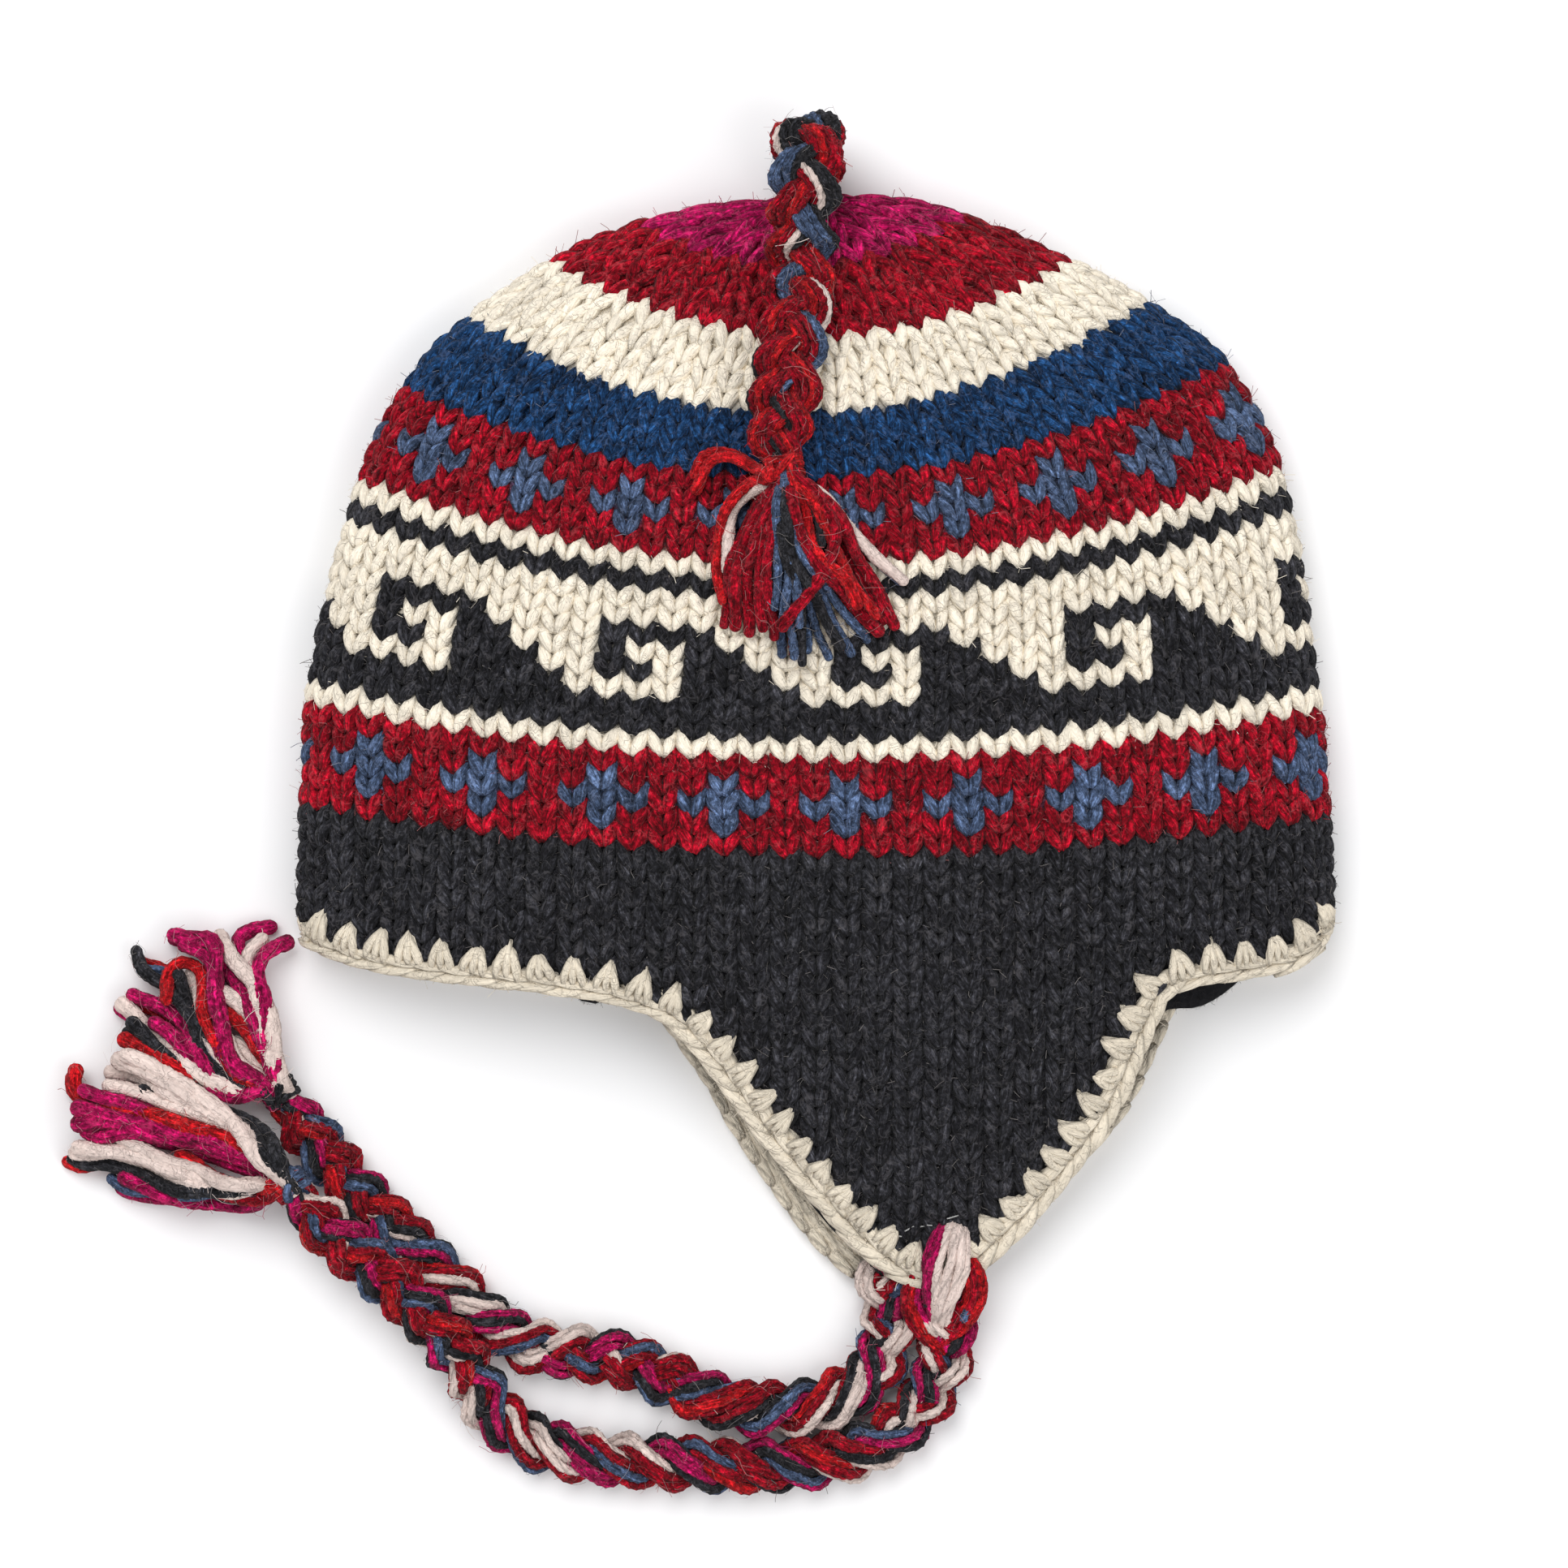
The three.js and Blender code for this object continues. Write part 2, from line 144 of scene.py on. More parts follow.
def fleece_drop(x, upper):
    away = np.minimum(np.abs(x[..., None] - LINING_PEEKS["x"]) / LINING_PEEKS["half_width"], 1)
    drop = (LINING_PEEKS["drop"] * (1 + np.cos(np.pi * away)) / 2).sum(axis=-1)
    return np.where(upper, 0, drop)


def face(angle, row, drop=None):
    """Points of the outer face. angle runs round the knitting, from the right fold by the upper middle."""
    angle, row = np.broadcast_arrays(np.asarray(angle, float), np.asarray(row, float))
    across = np.cos(angle)
    upper = np.sin(angle) >= 0
    of = {c: smooth(ROUNDS, "row", c, np.minimum(row, LAST_ROUND)) for c in ROUNDS if c != "row"}
    skirt = np.maximum(0, row - LAST_ROUND) / (HEM_ROW - LAST_ROUND)
    half_width = of["half_width"] * (1 - skirt) + HEM_HALF_WIDTH * skirt
    x = of["centre_x"] * (1 - skirt) + half_width * across
    y = of["edge_y"] + of["lean"] * across - of["sag"] * (1 - across**2)
    hem = hem_y(x, upper) - (0 if drop is None else drop(x, upper))
    y = y * (1 - skirt) + hem * skirt
    sunk = smooth(UPPER_SKIRT_HEIGHTS, "y", "height", np.minimum(y, SKIRT_TOP_Y))
    upper_z = FOLD_Z + (np.where(skirt > 0, sunk, of["top"]) - FOLD_Z) * np.sin(angle)
    corner = np.maximum(np.minimum(FOLD_CORNER, half_width / 2), 1e-6)
    into = np.maximum(0, (np.abs(across) - 1) * half_width + corner) / corner
    flat = np.maximum(of["base"], 0)
    lower_z = flat + (FOLD_Z - flat) * (1 - np.sqrt(np.maximum(0, 1 - into**2)))
    return np.stack([x, y, np.where(upper, upper_z, lower_z)], axis=-1)


def unit(v):
    return v / np.maximum(np.linalg.norm(v, axis=-1, keepdims=True), 1e-12)


def lengths_along(line):
    """The way from the first point of a line to each of its points."""
    return np.append(0, np.cumsum(np.linalg.norm(np.diff(line, axis=0), axis=1)))


def outward(angle, row, drop=None):
    step = 0.02
    round_way = face(angle + step, row, drop) - face(angle - step, row, drop)
    down_way = face(angle, np.minimum(row + step, HEM_ROW), drop) - face(angle, row - step, drop)
    return unit(np.cross(round_way, down_way))


def under(angle, row, depth, drop=None):
    return face(angle, row, drop) - depth * outward(angle, row, drop)


print("height of the upper middle in mm:", face(math.pi / 2, np.array([8.0, 21.0, 37.0]))[:, 2])

# %% [markdown]
# Wool yarn is the one material of nearly everything here. Its colours are named once, as they look in
# daylight, and turned into the linear values that a shader works with.

# %% Yarn colours
def daylight(red, green, blue):
    c = np.array([red, green, blue]) / 255
    return np.append(np.where(c <= 0.04045, c / 12.92, ((c + 0.055) / 1.055) ** 2.4), 1)


YARN = {
    "magenta": daylight(162, 14, 78),
    "red": daylight(138, 8, 27),
    "bright_red": daylight(172, 20, 27),
    "cream": daylight(241, 231, 213),
    "blush": daylight(224, 205, 197),
    "ecru": daylight(224, 213, 194),
    "blue": daylight(24, 56, 94),
    "denim": daylight(72, 88, 117),
    "charcoal": daylight(40, 40, 44),
    "white": daylight(240, 240, 238),
}
print(len(YARN), "yarns")

# %% [markdown]
# Close up, wool is a bundle of fine fibres that run along the yarn, a little lighter and darker, and felted
# over with stray hairs that lie any way. An image could show that, but a pattern on the yarn's own
# coordinates follows every turn. Each yarn mesh carries them as an attribute, fibre_at: a place round the
# yarn and a length along it, in yarn radii. Two plies are twisted together, so a groove winds round the yarn.
# The groove between the plies is darkened as painted shade, and sunk with a bump. A stray hair is a thin line
# where a noise crosses its middle value, cut into short pieces by a second noise.
# The group gives a colour and a height to each material. Dark wool gets more contrast than pale wool, because
# pale fibres show on it. Stray lines are paler than dark wool, partly a painted highlight where single fibres
# catch the light, and darker than pale wool.

# %% The wool fibre node group
PLY_TURN = 0.45
PLY_GROOVE = 0.45
FIBRE_STRETCH = (2.7, 2.7, 0.45)
FIBRE_LOSS = 0.3
FIBRE_SWING = 2.5
FINER = 3.1
TONE_SCALE = 0.45
FELT_SCALE = 780.0
NOISE_MIDDLE = (0.3, 0.7)
DARK_CONTRAST, PALE_CONTRAST = 2.9, 0.32
STRAY_LAYERS = ((0.2, 260.0), (0.5, 420.0))
STRAY_LINE = (0.006, 0.034)
STRAY_PIECE = (0.47, 0.55)
STRAY_GREY = (0.05, 0.045, 0.045)
STRAY_ON_DARK, STRAY_ON_PALE = 2.0, 0.72
STRAY_HEIGHT, FELT_HEIGHT, PLY_HEIGHT = 0.25, 0.5, 0.8


def group_socket(tree, name, way, kind, value=None):
    socket = tree.interface.new_socket(name, in_out=way, socket_type=kind)
    if value is not None:
        socket.default_value = value
    return socket


def linked(tree, kind, inputs=(), **settings):
    """Adds a node, sets its properties and links or sets its inputs, given as pairs of socket and value."""
    node = tree.nodes.new(kind)
    for key, value in settings.items():
        setattr(node, key, value)
    for key, value in inputs:
        if isinstance(value, bpy.types.NodeSocket):
            tree.links.new(value, node.inputs[key])
        else:
            node.inputs[key].default_value = value
    return node


def group_inputs(tree, rows):
    """Adds named inputs, given as rows of name, kind and first value, and a node that hands them out."""
    for name, kind, value in rows:
        group_socket(tree, name, "INPUT", "NodeSocket" + kind, value)
    return tree.nodes.new("NodeGroupInput").outputs


def math_node(tree, operation, *values):
    return linked(tree, "ShaderNodeMath", list(enumerate(values)), operation=operation).outputs[0]


def vector_node(tree, operation, place, other, socket=1):
    return linked(tree, "ShaderNodeVectorMath", [(0, place), (socket, other)], operation=operation).outputs[0]


def colour_mix(tree, share, first, second):
    return linked(tree, "ShaderNodeMix", [(0, share), (6, first), (7, second)], data_type="RGBA").outputs[2]


def noise(tree, place, shift, scale, detail, distortion=0.0):
    moved = vector_node(tree, "ADD", place, shift)
    node = linked(tree, "ShaderNodeTexNoise", [("Vector", moved), ("Scale", scale), ("Detail", detail),
                  ("Distortion", distortion)])
    return node.outputs["Fac"]


def ranged(tree, value, low, high, to_low, to_high):
    return linked(tree, "ShaderNodeMapRange", [("Value", value), ("From Min", low), ("From Max", high),
                  ("To Min", to_low), ("To Max", to_high)]).outputs[0]


def either_way(tree, value, reach):
    """A noise turned into a swing of plus or minus reach."""
    return ranged(tree, value, *NOISE_MIDDLE, -reach, reach)


def stray_hairs(tree, place, layer, scale):
    crossing = noise(tree, place, (layer, 0.3, 0.7), scale, 1.0, 0.7)
    off = math_node(tree, "ABSOLUTE", math_node(tree, "SUBTRACT", crossing, 0.5))
    line = ranged(tree, off, *STRAY_LINE, 1.0, 0.0)
    cut = noise(tree, place, (0.4, layer, 0.1), 0.8 * scale, 0.0)
    return math_node(tree, "MULTIPLY", line, ranged(tree, cut, *STRAY_PIECE, 0.0, 1.0))


def ply_groove(tree, place):
    """0 in the groove between two plies, 1 on them."""
    at = linked(tree, "ShaderNodeSeparateXYZ", [(0, place)]).outputs
    angle = math_node(tree, "ARCTAN2", at["Y"], at["X"])
    turned = math_node(tree, "MULTIPLY_ADD", at["Z"], -PLY_TURN, angle)
    off_middle = math_node(tree, "ABSOLUTE", math_node(tree, "COSINE", turned))
    return ranged(tree, off_middle, 0.0, PLY_GROOVE, 0.0, 1.0)


def wool_group():
    tree = bpy.data.node_groups.new("wool_fibres", "ShaderNodeTree")
    given = group_inputs(tree, [
        ("Colour", "Color", (0.5, 0.5, 0.5, 1)), ("Fibre place", "Vector", None), ("Yarn", "Vector", None),
        ("Heather", "Float", 0.3), ("Strays", "Float", 0.3), ("Ply", "Float", 0.3)])
    group_socket(tree, "Colour", "OUTPUT", "NodeSocketColor")
    group_socket(tree, "Height", "OUTPUT", "NodeSocketFloat")
    colour, at, yarn = given["Colour"], given["Fibre place"], given["Yarn"]
    place = tree.nodes.new("ShaderNodeTexCoord").outputs["Object"]
    stretch = vector_node(tree, "MULTIPLY", at, FIBRE_STRETCH)
    fibres = noise(tree, stretch, yarn, 1.0, 2.0, 0.6)
    fine = noise(tree, stretch, yarn, FINER, 2.0, 0.4)
    tone = noise(tree, at, yarn, TONE_SCALE, 1.0)
    felt = noise(tree, place, (0.2, 0.1, 0.3), FELT_SCALE, 3.0, 0.8)
    streaks = math_node(tree, "ADD", either_way(tree, fibres, 1.0), either_way(tree, fine, 0.6))
    blotch = math_node(tree, "ADD", either_way(tree, tone, 0.4), either_way(tree, felt, 1.0))
    paleness = linked(tree, "ShaderNodeRGBToBW", [(0, colour)]).outputs[0]
    by_paleness = ranged(tree, paleness, 0.02, 0.5, DARK_CONTRAST, PALE_CONTRAST)
    contrast = math_node(tree, "MULTIPLY", given["Heather"], by_paleness)
    doublings = math_node(tree, "MULTIPLY", math_node(tree, "ADD", streaks, blotch), contrast)
    doublings = math_node(tree, "MULTIPLY_ADD", contrast, -FIBRE_LOSS, doublings)
    ply = ply_groove(tree, at)
    # Painted shade: the colour darkens in the groove between the two plies, by the Ply amount.
    painted_groove_shade = math_node(tree, "MULTIPLY_ADD", math_node(tree, "SUBTRACT", ply, 1.0), given["Ply"], 1.0)
    swing = math_node(tree, "MULTIPLY", math_node(tree, "POWER", FIBRE_SWING, doublings), painted_groove_shade)
    shaded = vector_node(tree, "MULTIPLY", colour, swing)
    hairs = math_node(tree, "MAXIMUM", *(stray_hairs(tree, place, *layer) for layer in STRAY_LAYERS))
    amount = math_node(tree, "MULTIPLY", hairs, given["Strays"])
    # Stray lines: paler on dark wool, partly a painted highlight of single fibres catching the light; darker
    # on pale wool.
    change = ranged(tree, paleness, 0.03, 0.5, STRAY_ON_DARK, STRAY_ON_PALE)
    stray = vector_node(tree, "ADD", vector_node(tree, "SCALE", colour, change, "Scale"), STRAY_GREY)
    mixed = colour_mix(tree, amount, shaded, stray)
    height = math_node(tree, "MULTIPLY_ADD", hairs, STRAY_HEIGHT, fibres)
    height = math_node(tree, "MULTIPLY_ADD", felt, FELT_HEIGHT, height)
    plies = math_node(tree, "MULTIPLY", ply, given["Ply"])
    height = math_node(tree, "MULTIPLY_ADD", plies, PLY_HEIGHT, height)
    out = tree.nodes.new("NodeGroupOutput").inputs
    tree.links.new(mixed, out["Colour"])
    tree.links.new(height, out["Height"])
    return tree


WOOL_FIBRES = wool_group()
print("inputs:", [s.name for s in WOOL_FIBRES.interface.items_tree if s.in_out == "INPUT"])

# %% Wool materials
WOOL_BUMP = 0.7 * MM
WOOL_SURFACE = {"Roughness": 0.95, "Specular IOR Level": 0.1, "Sheen Weight": 0.04, "Sheen Roughness": 0.5}


def new_material(name, values):
    """A material whose Principled node has these inputs set, and its node tree and that node."""
    material = bpy.data.materials.new(name)
    material.use_nodes = True
    surface = material.node_tree.nodes["Principled BSDF"]
    for key, value in values.items():
        surface.inputs[key].default_value = value
    return material, material.node_tree, surface


def wool(name, heather, strays, ply):
    material, tree, surface = new_material(name, WOOL_SURFACE)
    colour = linked(tree, "ShaderNodeAttribute", attribute_name="yarn_colour").outputs["Color"]
    place = linked(tree, "ShaderNodeAttribute", attribute_name="fibre_at").outputs["Vector"]
    yarn = linked(tree, "ShaderNodeAttribute", attribute_name="yarn_number").outputs["Vector"]
    fibres = linked(tree, "ShaderNodeGroup", node_tree=WOOL_FIBRES)
    for socket, value in (("Colour", colour), ("Fibre place", place), ("Yarn", yarn)):
        tree.links.new(value, fibres.inputs[socket])
    for socket, value in (("Heather", heather), ("Strays", strays), ("Ply", ply)):
        fibres.inputs[socket].default_value = value
    relief = linked(tree, "ShaderNodeBump", [("Strength", 1.0), ("Distance", WOOL_BUMP),
                    ("Height", fibres.outputs["Height"])])
    tree.links.new(fibres.outputs["Colour"], surface.inputs["Base Color"])
    tree.links.new(relief.outputs["Normal"], surface.inputs["Normal"])
    return material


knit_wool = wool("knit_wool", heather=0.34, strays=0.45, ply=0.3)
purl_wool = wool("purl_wool", heather=0.3, strays=0.4, ply=0.0)
braid_wool = wool("braid_wool", heather=0.34, strays=0.25, ply=0.35)
tassel_wool = wool("tassel_wool", heather=0.34, strays=0.3, ply=0.12)
edging_wool = wool("edging_wool", heather=0.3, strays=0.3, ply=0.4)
print("materials:", [m.name for m in bpy.data.materials if m.name.endswith("wool")])

# %% [markdown]
# A braid, a tassel or a winding is a set of yarns that follow paths. A curve with a bevel could do that, but
# a Geometry Nodes tree gives every yarn its own thickness and colour and stores the fibre coordinates: it
# turns polylines into curves, sweeps a profile of two plies along them, twists it as it goes, and records
# place and length on the way.

# %% The spun yarn tree
def modifier_tree(name):
    tree = bpy.data.node_groups.new(name, "GeometryNodeTree")
    tree.is_modifier = True
    group_socket(tree, "Geometry", "INPUT", "NodeSocketGeometry")
    group_socket(tree, "Geometry", "OUTPUT", "NodeSocketGeometry")
    return tree


def attribute(tree, name, kind):
    node = linked(tree, "GeometryNodeInputNamedAttribute", [("Name", name)], data_type=kind)
    return node.outputs["Attribute"]


def captured(tree, geometry, kind, value):
    node = tree.nodes.new("GeometryNodeCaptureAttribute")
    node.capture_items.new(kind, "kept")
    tree.links.new(geometry, node.inputs[0])
    tree.links.new(value, node.inputs[1])
    return node.outputs[0], node.outputs[1]


def finished(tree, geometry, material):
    """Ends a tree: real geometry, smooth shading and a material."""
    real = linked(tree, "GeometryNodeRealizeInstances", [("Geometry", geometry)]).outputs[0]
    soft = linked(tree, "GeometryNodeSetShadeSmooth", [("Geometry", real)]).outputs[0]
    dressed = linked(tree, "GeometryNodeSetMaterial", [("Geometry", soft), ("Material", material)]).outputs[0]
    tree.links.new(dressed, tree.nodes.new("NodeGroupOutput").inputs[0])
    return tree


def spun_yarn_tree():
    tree = modifier_tree("spun_yarn")
    given = group_inputs(tree, [
        ("Sides", "Int", 8), ("Ply turn", "Float", PLY_TURN), ("Ply depth", "Float", 0.25),
        ("Material", "Material", None)])
    path = linked(tree, "GeometryNodeMeshToCurve", [("Mesh", given["Geometry"])]).outputs[0]
    length = tree.nodes.new("GeometryNodeSplineParameter").outputs["Length"]
    in_gauges = math_node(tree, "DIVIDE", length, attribute(tree, "yarn_gauge", "FLOAT"))
    path, along = captured(tree, path, "FLOAT", in_gauges)
    twist = math_node(tree, "MULTIPLY", along, given["Ply turn"])
    path = linked(tree, "GeometryNodeSetCurveTilt", [("Curve", path), ("Tilt", twist)]).outputs[0]
    ring = linked(tree, "GeometryNodeCurvePrimitiveCircle", [("Resolution", given["Sides"]), ("Radius", 1.0)],
                  mode="RADIUS").outputs[0]
    share = tree.nodes.new("GeometryNodeSplineParameter").outputs["Factor"]
    ring, turn = captured(tree, ring, "FLOAT", share)
    angle = math_node(tree, "MULTIPLY", turn, 2 * math.pi)
    off_ply = math_node(tree, "SUBTRACT", 1.0, math_node(tree, "ABSOLUTE", math_node(tree, "COSINE", angle)))
    lobed = math_node(tree, "SUBTRACT", 1.0, math_node(tree, "MULTIPLY", off_ply, given["Ply depth"]))
    spot = tree.nodes.new("GeometryNodeInputPosition").outputs[0]
    spot = vector_node(tree, "SCALE", spot, lobed, "Scale")
    ring = linked(tree, "GeometryNodeSetPosition", [("Geometry", ring), ("Position", spot)]).outputs[0]
    swept = linked(tree, "GeometryNodeCurveToMesh", [("Curve", path), ("Profile Curve", ring),
                   ("Scale", attribute(tree, "yarn_radius", "FLOAT")), ("Fill Caps", True)]).outputs[0]
    still = math_node(tree, "ADD", angle, twist)
    place = linked(tree, "ShaderNodeCombineXYZ", [("X", math_node(tree, "COSINE", still)),
                   ("Y", math_node(tree, "SINE", still)), ("Z", along)]).outputs[0]
    kept = linked(tree, "GeometryNodeStoreNamedAttribute", [("Geometry", swept), ("Name", "fibre_at"),
                  ("Value", place)], data_type="FLOAT_VECTOR").outputs[0]
    return finished(tree, kept, given["Material"])


SPUN_YARN = spun_yarn_tree()
print("tree:", SPUN_YARN.name)

# %% Helpers that grow a tree into a plain mesh
UNEVEN_YARN = 0.07
UNEVEN_DYE = (0.92, 1.08)
YARN_NUMBERS = (0, 50)
ANY_PHASE = (0, 6)


def mesh_object(name, points, edges=(), faces=(), **values):
    """A mesh object from points in millimetres, with one attribute for each keyword."""
    mesh = bpy.data.meshes.new(name)
    mesh.from_pydata(np.asarray(points) * MM, edges, faces)
    for key, data in values.items():
        data = np.asarray(data, float)
        kind = {1: "FLOAT", 3: "FLOAT_VECTOR", 4: "FLOAT_COLOR"}[data.shape[1] if data.ndim > 1 else 1]
        field = {"FLOAT": "value", "FLOAT_VECTOR": "vector", "FLOAT_COLOR": "color"}[kind]
        mesh.attributes.new(key, kind, "POINT").data.foreach_set(field, data.ravel())
    made = bpy.data.objects.new(name, mesh)
    bpy.context.scene.collection.objects.link(made)
    return made


def grown(source, tree, **inputs):
    """Runs a tree on a source object and replaces that object by the plain mesh that comes out."""
    name = source.name
    modifier = source.modifiers.new("grow", "NODES")
    modifier.node_group = tree
    names = {s.name: s.identifier for s in tree.interface.items_tree if s.in_out == "INPUT"}
    for key, value in inputs.items():
        modifier[names[key.replace("_", " ").capitalize()]] = value
    depsgraph = bpy.context.evaluated_depsgraph_get()
    mesh = bpy.data.meshes.new_from_object(source.evaluated_get(depsgraph), preserve_all_data_layers=True,
                                           depsgraph=depsgraph)
    bpy.data.objects.remove(source, do_unlink=True)
    mesh.name = name
    made = bpy.data.objects.new(name, mesh)
    bpy.context.scene.collection.objects.link(made)
    print(name, "triangles:", sum(len(p.vertices) - 2 for p in mesh.polygons))
    return made


def yarns(name, paths, material, sides=8, ply_depth=0.25):
    """One mesh of many yarns. Each path is points in mm, a radius or one a point, and a colour name."""
    points, edges, radii, gauges, colours, numbers = [], [], [], [], [], []
    for path, radius, colour in paths:
        start = len(points)
        points.extend(path)
        edges.extend((start + i, start + i + 1) for i in range(len(path) - 1))
        wander = 1 + UNEVEN_YARN * np.sin(np.arange(len(path)) * 0.55 + chance.uniform(*ANY_PHASE))
        radii.extend(np.broadcast_to(radius, len(path)) * wander * MM)
        gauges.extend([np.median(radius) * MM] * len(path))
        colours.extend([YARN[colour] * chance.uniform(*UNEVEN_DYE)] * len(path))
        numbers.extend([chance.uniform(*YARN_NUMBERS)] * len(path))
    source = mesh_object(name, points, edges, yarn_radius=radii, yarn_gauge=gauges, yarn_colour=colours,
                         yarn_number=numbers)
    return grown(source, SPUN_YARN, sides=sides, ply_turn=PLY_TURN, ply_depth=ply_depth, material=material)


print("helpers ready")

# %% [markdown]
# The ties and the topknot are three-strand braids, soft enough to lie in loose bends. Their routes repeat
# the CAD model's points, and the lower tie also has the short stretch that is sewn under the flap. A braid
# could be one twisted tube, but here each strand swings from side to side and over the others, as braiding
# does: a sine across and a sine of twice the pace up and down. Every strand is a bundle of mixed yarns that
# turns slowly, so another yarn comes to the top in each lobe. Where a tie lies on its edge it looks like a
# twisted rope, so there the strands pass into a plain twist.

# %% Routes of the braids
UPPER_TIE_ROUTE = [
    (33.2, -142.4, 13.4), (34.4, -149.5, 9.6), (34.2, -157.5, 7.2), (30.6, -168.5, 6.7), (22.8, -177.9, 6.7),
    (11.6, -184.5, 6.7), (-1, -187.4, 6.7), (-22, -188.3, 6.7), (-43, -187.4, 6.7), (-60.8, -185.5, 6.7),
    (-74.6, -181.5, 7.4), (-83.6, -174.5, 9.6), (-89, -164.9, 13.2), (-97.4, -152.9, 17),
    (-107.6, -141.9, 17.2), (-121, -130.9, 17.2), (-132.4, -118.9, 17.1), (-136.4, -114.1, 16.9),
]
LOWER_TIE_ROUTE = [
    (19.4, -133.5, 10.4), (18.3, -138.5, 8.8), (17.6, -142.9, 6.7), (19.4, -152.5, 6.7),
    (15.4, -163.5, 6.7), (6.3, -170.5, 6.7), (-5.3, -173.5, 6.7),
    (-16.8, -173.5, 6.7), (-28.4, -170.3, 6.7), (-39.9, -165.1, 6.7), (-51, -160.7, 6.7), (-62, -158.9, 6.7),
    (-75.6, -156.7, 6.7), (-86, -150.5, 6.7), (-94.6, -141.9, 6.7), (-110.2, -126.3, 6.7),
    (-122.8, -113.3, 6.7), (-133.6, -99.7, 7.8), (-140, -90.1, 8.9),
]
TOPKNOT_FOLD = [
    (-1, 142.5, 9.4), (-1.4, 149.5, 10.6), (-1.8, 155.5, 16.4), (-2, 157.5, 24), (-2.2, 155.3, 31.6),
    (-2.6, 149.1, 37.4), (-3, 140.5, 39.6),
]
TOPKNOT_LAID = [(-4, 123.5), (-5.6, 106.5), (-7.8, 89.5), (-9.6, 77.5), (-8, 69.1)]
TOPKNOT_LIFT = 8.8


def upper_height(x, y):
    """Height of the upper half's face at places seen from above, found by halving."""
    x, y = np.broadcast_arrays(np.asarray(x, float), np.asarray(y, float))
    low = np.zeros(x.shape)
    high = np.full(x.shape, float(LAST_ROUND))
    for _ in range(30):
        row = (low + high) / 2
        half_width = np.maximum(smooth(ROUNDS, "row", "half_width", row), 1)
        across = (x - smooth(ROUNDS, "row", "centre_x", row)) / half_width
        here = face(np.arccos(np.clip(across, -1, 1)), row)
        low = np.where(here[..., 1] > y, row, low)
        high = np.where(here[..., 1] > y, high, row)
    return here[..., 2]


def flowing(points, step):
    """Places every step mm along a centripetal Catmull-Rom curve through the points."""
    p = np.array(points, float)
    p = np.vstack([2 * p[0] - p[1], p, 2 * p[-1] - p[-2]])
    line = []
    for a, b, c, d in zip(p, p[1:], p[2:], p[3:]):
        gaps = np.cumsum([0] + [max(np.linalg.norm(v - u) ** 0.5, 1e-9) for u, v in ((a, b), (b, c), (c, d))])
        t = np.linspace(gaps[1], gaps[2], 24, endpoint=False)[:, None]
        mix = lambda u, v, i, j: ((gaps[j] - t) * u + (t - gaps[i]) * v) / (gaps[j] - gaps[i])
        ab, bc, cd = mix(a, b, 0, 1), mix(b, c, 1, 2), mix(c, d, 2, 3)
        line.extend(mix(mix(ab, bc, 0, 2), mix(bc, cd, 1, 3), 1, 2))
    line = np.vstack([line, p[-2]])
    length = lengths_along(line)
    at = np.linspace(0, length[-1], max(int(round(length[-1] / step)), 2) + 1)
    return np.stack([np.interp(at, length, line[:, k]) for k in range(3)], axis=1)


def carried_frame(line, up=(0, 0, 1)):
    """Side and up directions along a line, carried from point to point without twisting."""
    ahead = unit(np.gradient(line, axis=0))
    ups = [unit(np.array(up, float) - np.dot(up, ahead[0]) * ahead[0])]
    for t in ahead[1:]:
        ups.append(unit(ups[-1] - np.dot(ups[-1], t) * t))
    ups = np.array(ups)
    return np.cross(ahead, ups), ups


TOPKNOT_ROUTE = TOPKNOT_FOLD + [(x, y, float(upper_height(x, y)) + TOPKNOT_LIFT) for x, y in TOPKNOT_LAID]
for route in (UPPER_TIE_ROUTE, LOWER_TIE_ROUTE, TOPKNOT_ROUTE):
    print("braid length in mm:", round(float(lengths_along(flowing(route, 2))[-1]), 1))

# %% Braids
BRAID_STEP = 1.6
NECK_SHARE = 0.36
NECK_LENGTH = 12.0
TIE_STRANDS = [
    ["blush", "blush", "red", "red", "red", "charcoal"],
    ["magenta", "magenta", "charcoal", "denim", "magenta", "charcoal"],
    ["red", "bright_red", "red", "blush", "red", "denim"],
]
TOPKNOT_STRANDS = [
    ["red", "bright_red", "red", "red", "bright_red", "red", "red", "bright_red", "red"],
    ["denim", "denim", "denim", "charcoal", "charcoal", "red", "bright_red", "red", "red"],
    ["charcoal", "charcoal", "charcoal", "charcoal", "red", "red", "bright_red", "red", "blush"],
]
TIE_SHAPE = {"swing": 3.8, "lift": 2.8, "bundle": 2.6, "thick": 0.75, "yarn": 1.5, "period": 27.0}
TOPKNOT_SHAPE = {"swing": 4.9, "lift": 2.6, "bundle": 3.3, "thick": 0.6, "yarn": 1.3, "period": 31.5}
STRAIGHTER = 0.09
BRAID_PLY = 0.14
UNEVEN_PACE, UNEVEN_LENGTH = 0.2, 17
STRAND_ROLL = 0.23
YARN_WAVE = 0.15
WAVE_PACE = (0.4, 0.8)
CROWN_EDGE_Y = 138.0
LYING_SHARE = 1.2


